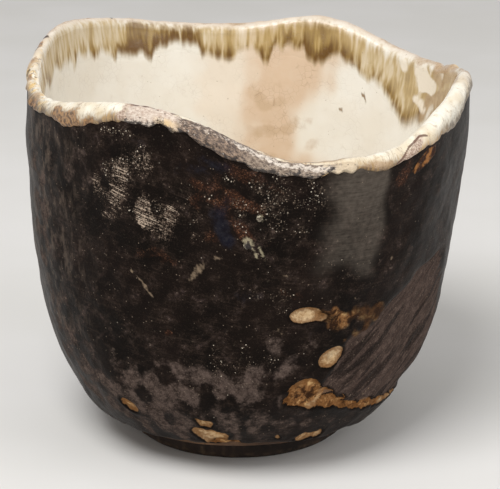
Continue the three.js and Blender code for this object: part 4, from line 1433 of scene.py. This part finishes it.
# Painted glints of light on the crust
glint = grey_skin.specks(0.26, 0.10) * fine.slope(0.4, 0.6)
colour = colour.coated(glint * 0.9, (250, 246, 240))
pit = grey_skin.specks(0.3, 0.12, grey_skin.places((1.1, 1.1, 1.1)))
colour = colour.coated(pit * 0.7, (74, 54, 44))
roughness = 0.42 + grain.swing(0.5) - shine * 0.15
height = grain + glint * 0.4 - pit * 0.6
grey_skin.dress(crust, colour=colour, roughness=roughness, height=height, depth=0.35)

# %% [markdown]
# ## Floor, light and camera
#
# A plain pale floor that runs far out behind the bowl, a large soft lamp above on the left, a weaker
# one on the right and an even pale sky. The sky looks brighter to the camera and in reflections than
# it shines, so it lights the bowl no more for that. The camera stands at the photograph's angle,
# 500 mm away, and looks down by 18.5 degrees.

# %% Floor
FLOOR_SIZE = 6
bpy.ops.object.select_all(action="DESELECT")
bpy.ops.mesh.primitive_plane_add(size=FLOOR_SIZE, location=(0, 0, 0))
floor = made("floor")
floor_finish = Finish("plain pale floor", Specular_IOR_Level=0.2)
soft_cloud = floor_finish.noise(60, detail=2)
colour = floor_finish.mixed(soft_cloud.slope(0.3, 0.7), (226, 224, 220), (230, 228, 225))
floor_finish.dress(floor, colour=colour, roughness=0.9)

# %% Sky
SKY_LIGHT, SKY_SEEN = 0.5, 0.9
world = bpy.data.worlds.new("studio")
bpy.context.scene.world = world
sky = Net(world)
camera_ray, glossy_ray, transmission_ray = (
    sky.node("ShaderNodeLightPath", output=f"Is {kind} Ray") for kind in ("Camera", "Glossy", "Transmission")
)
seen = sky.math("MAXIMUM", camera_ray, sky.math("MAXIMUM", glossy_ray, transmission_ray))
strength = sky.node(
    "ShaderNodeMix", {"data_type": "FLOAT"}, {"Factor": seen, "A": SKY_LIGHT, "B": SKY_SEEN}, "Result"
)
light = sky.node("ShaderNodeBackground", {}, {"Color": tint(246, 245, 244), "Strength": strength})
sky.node("ShaderNodeOutputWorld", {}, {"Surface": light})
print("Sky:", len(sky.nodes), "nodes")


# %% Lamps
def facing(direction):
    """The turn that points a lamp or a camera this way."""
    return direction.to_track_quat("-Z", "Y").to_euler()


def lamp(name, place, size, power, aim=(0, 0, 0.05)):
    """A round soft lamp that points at the middle of the bowl."""
    bpy.ops.object.light_add(type="AREA", location=place, rotation=facing(Vector(aim) - Vector(place)))
    lamp_data = made(name).data
    lamp_data.shape, lamp_data.size, lamp_data.energy = "DISK", size, power
    print(name, "lamp:", power, "W")


lamp("key", (-0.22, -0.45, 0.8), 0.45, 6.2)
lamp("fill", (0.6, -0.35, 0.4), 0.5, 1.6)

# %% Camera
CAMERA_ELEVATION, CAMERA_DISTANCE, CAMERA_LENS = math.radians(18.48), 0.5, 145.6
CAMERA_AIM = Vector((0.00014, 0.00125, 0.0455))
backwards = Vector((0, -math.cos(CAMERA_ELEVATION), math.sin(CAMERA_ELEVATION)))
bpy.ops.object.camera_add(location=CAMERA_AIM + backwards * CAMERA_DISTANCE, rotation=facing(-backwards))
camera = made("camera")
camera.data.lens = CAMERA_LENS
bpy.context.scene.camera = camera
bpy.context.scene.view_settings.view_transform = "Standard"
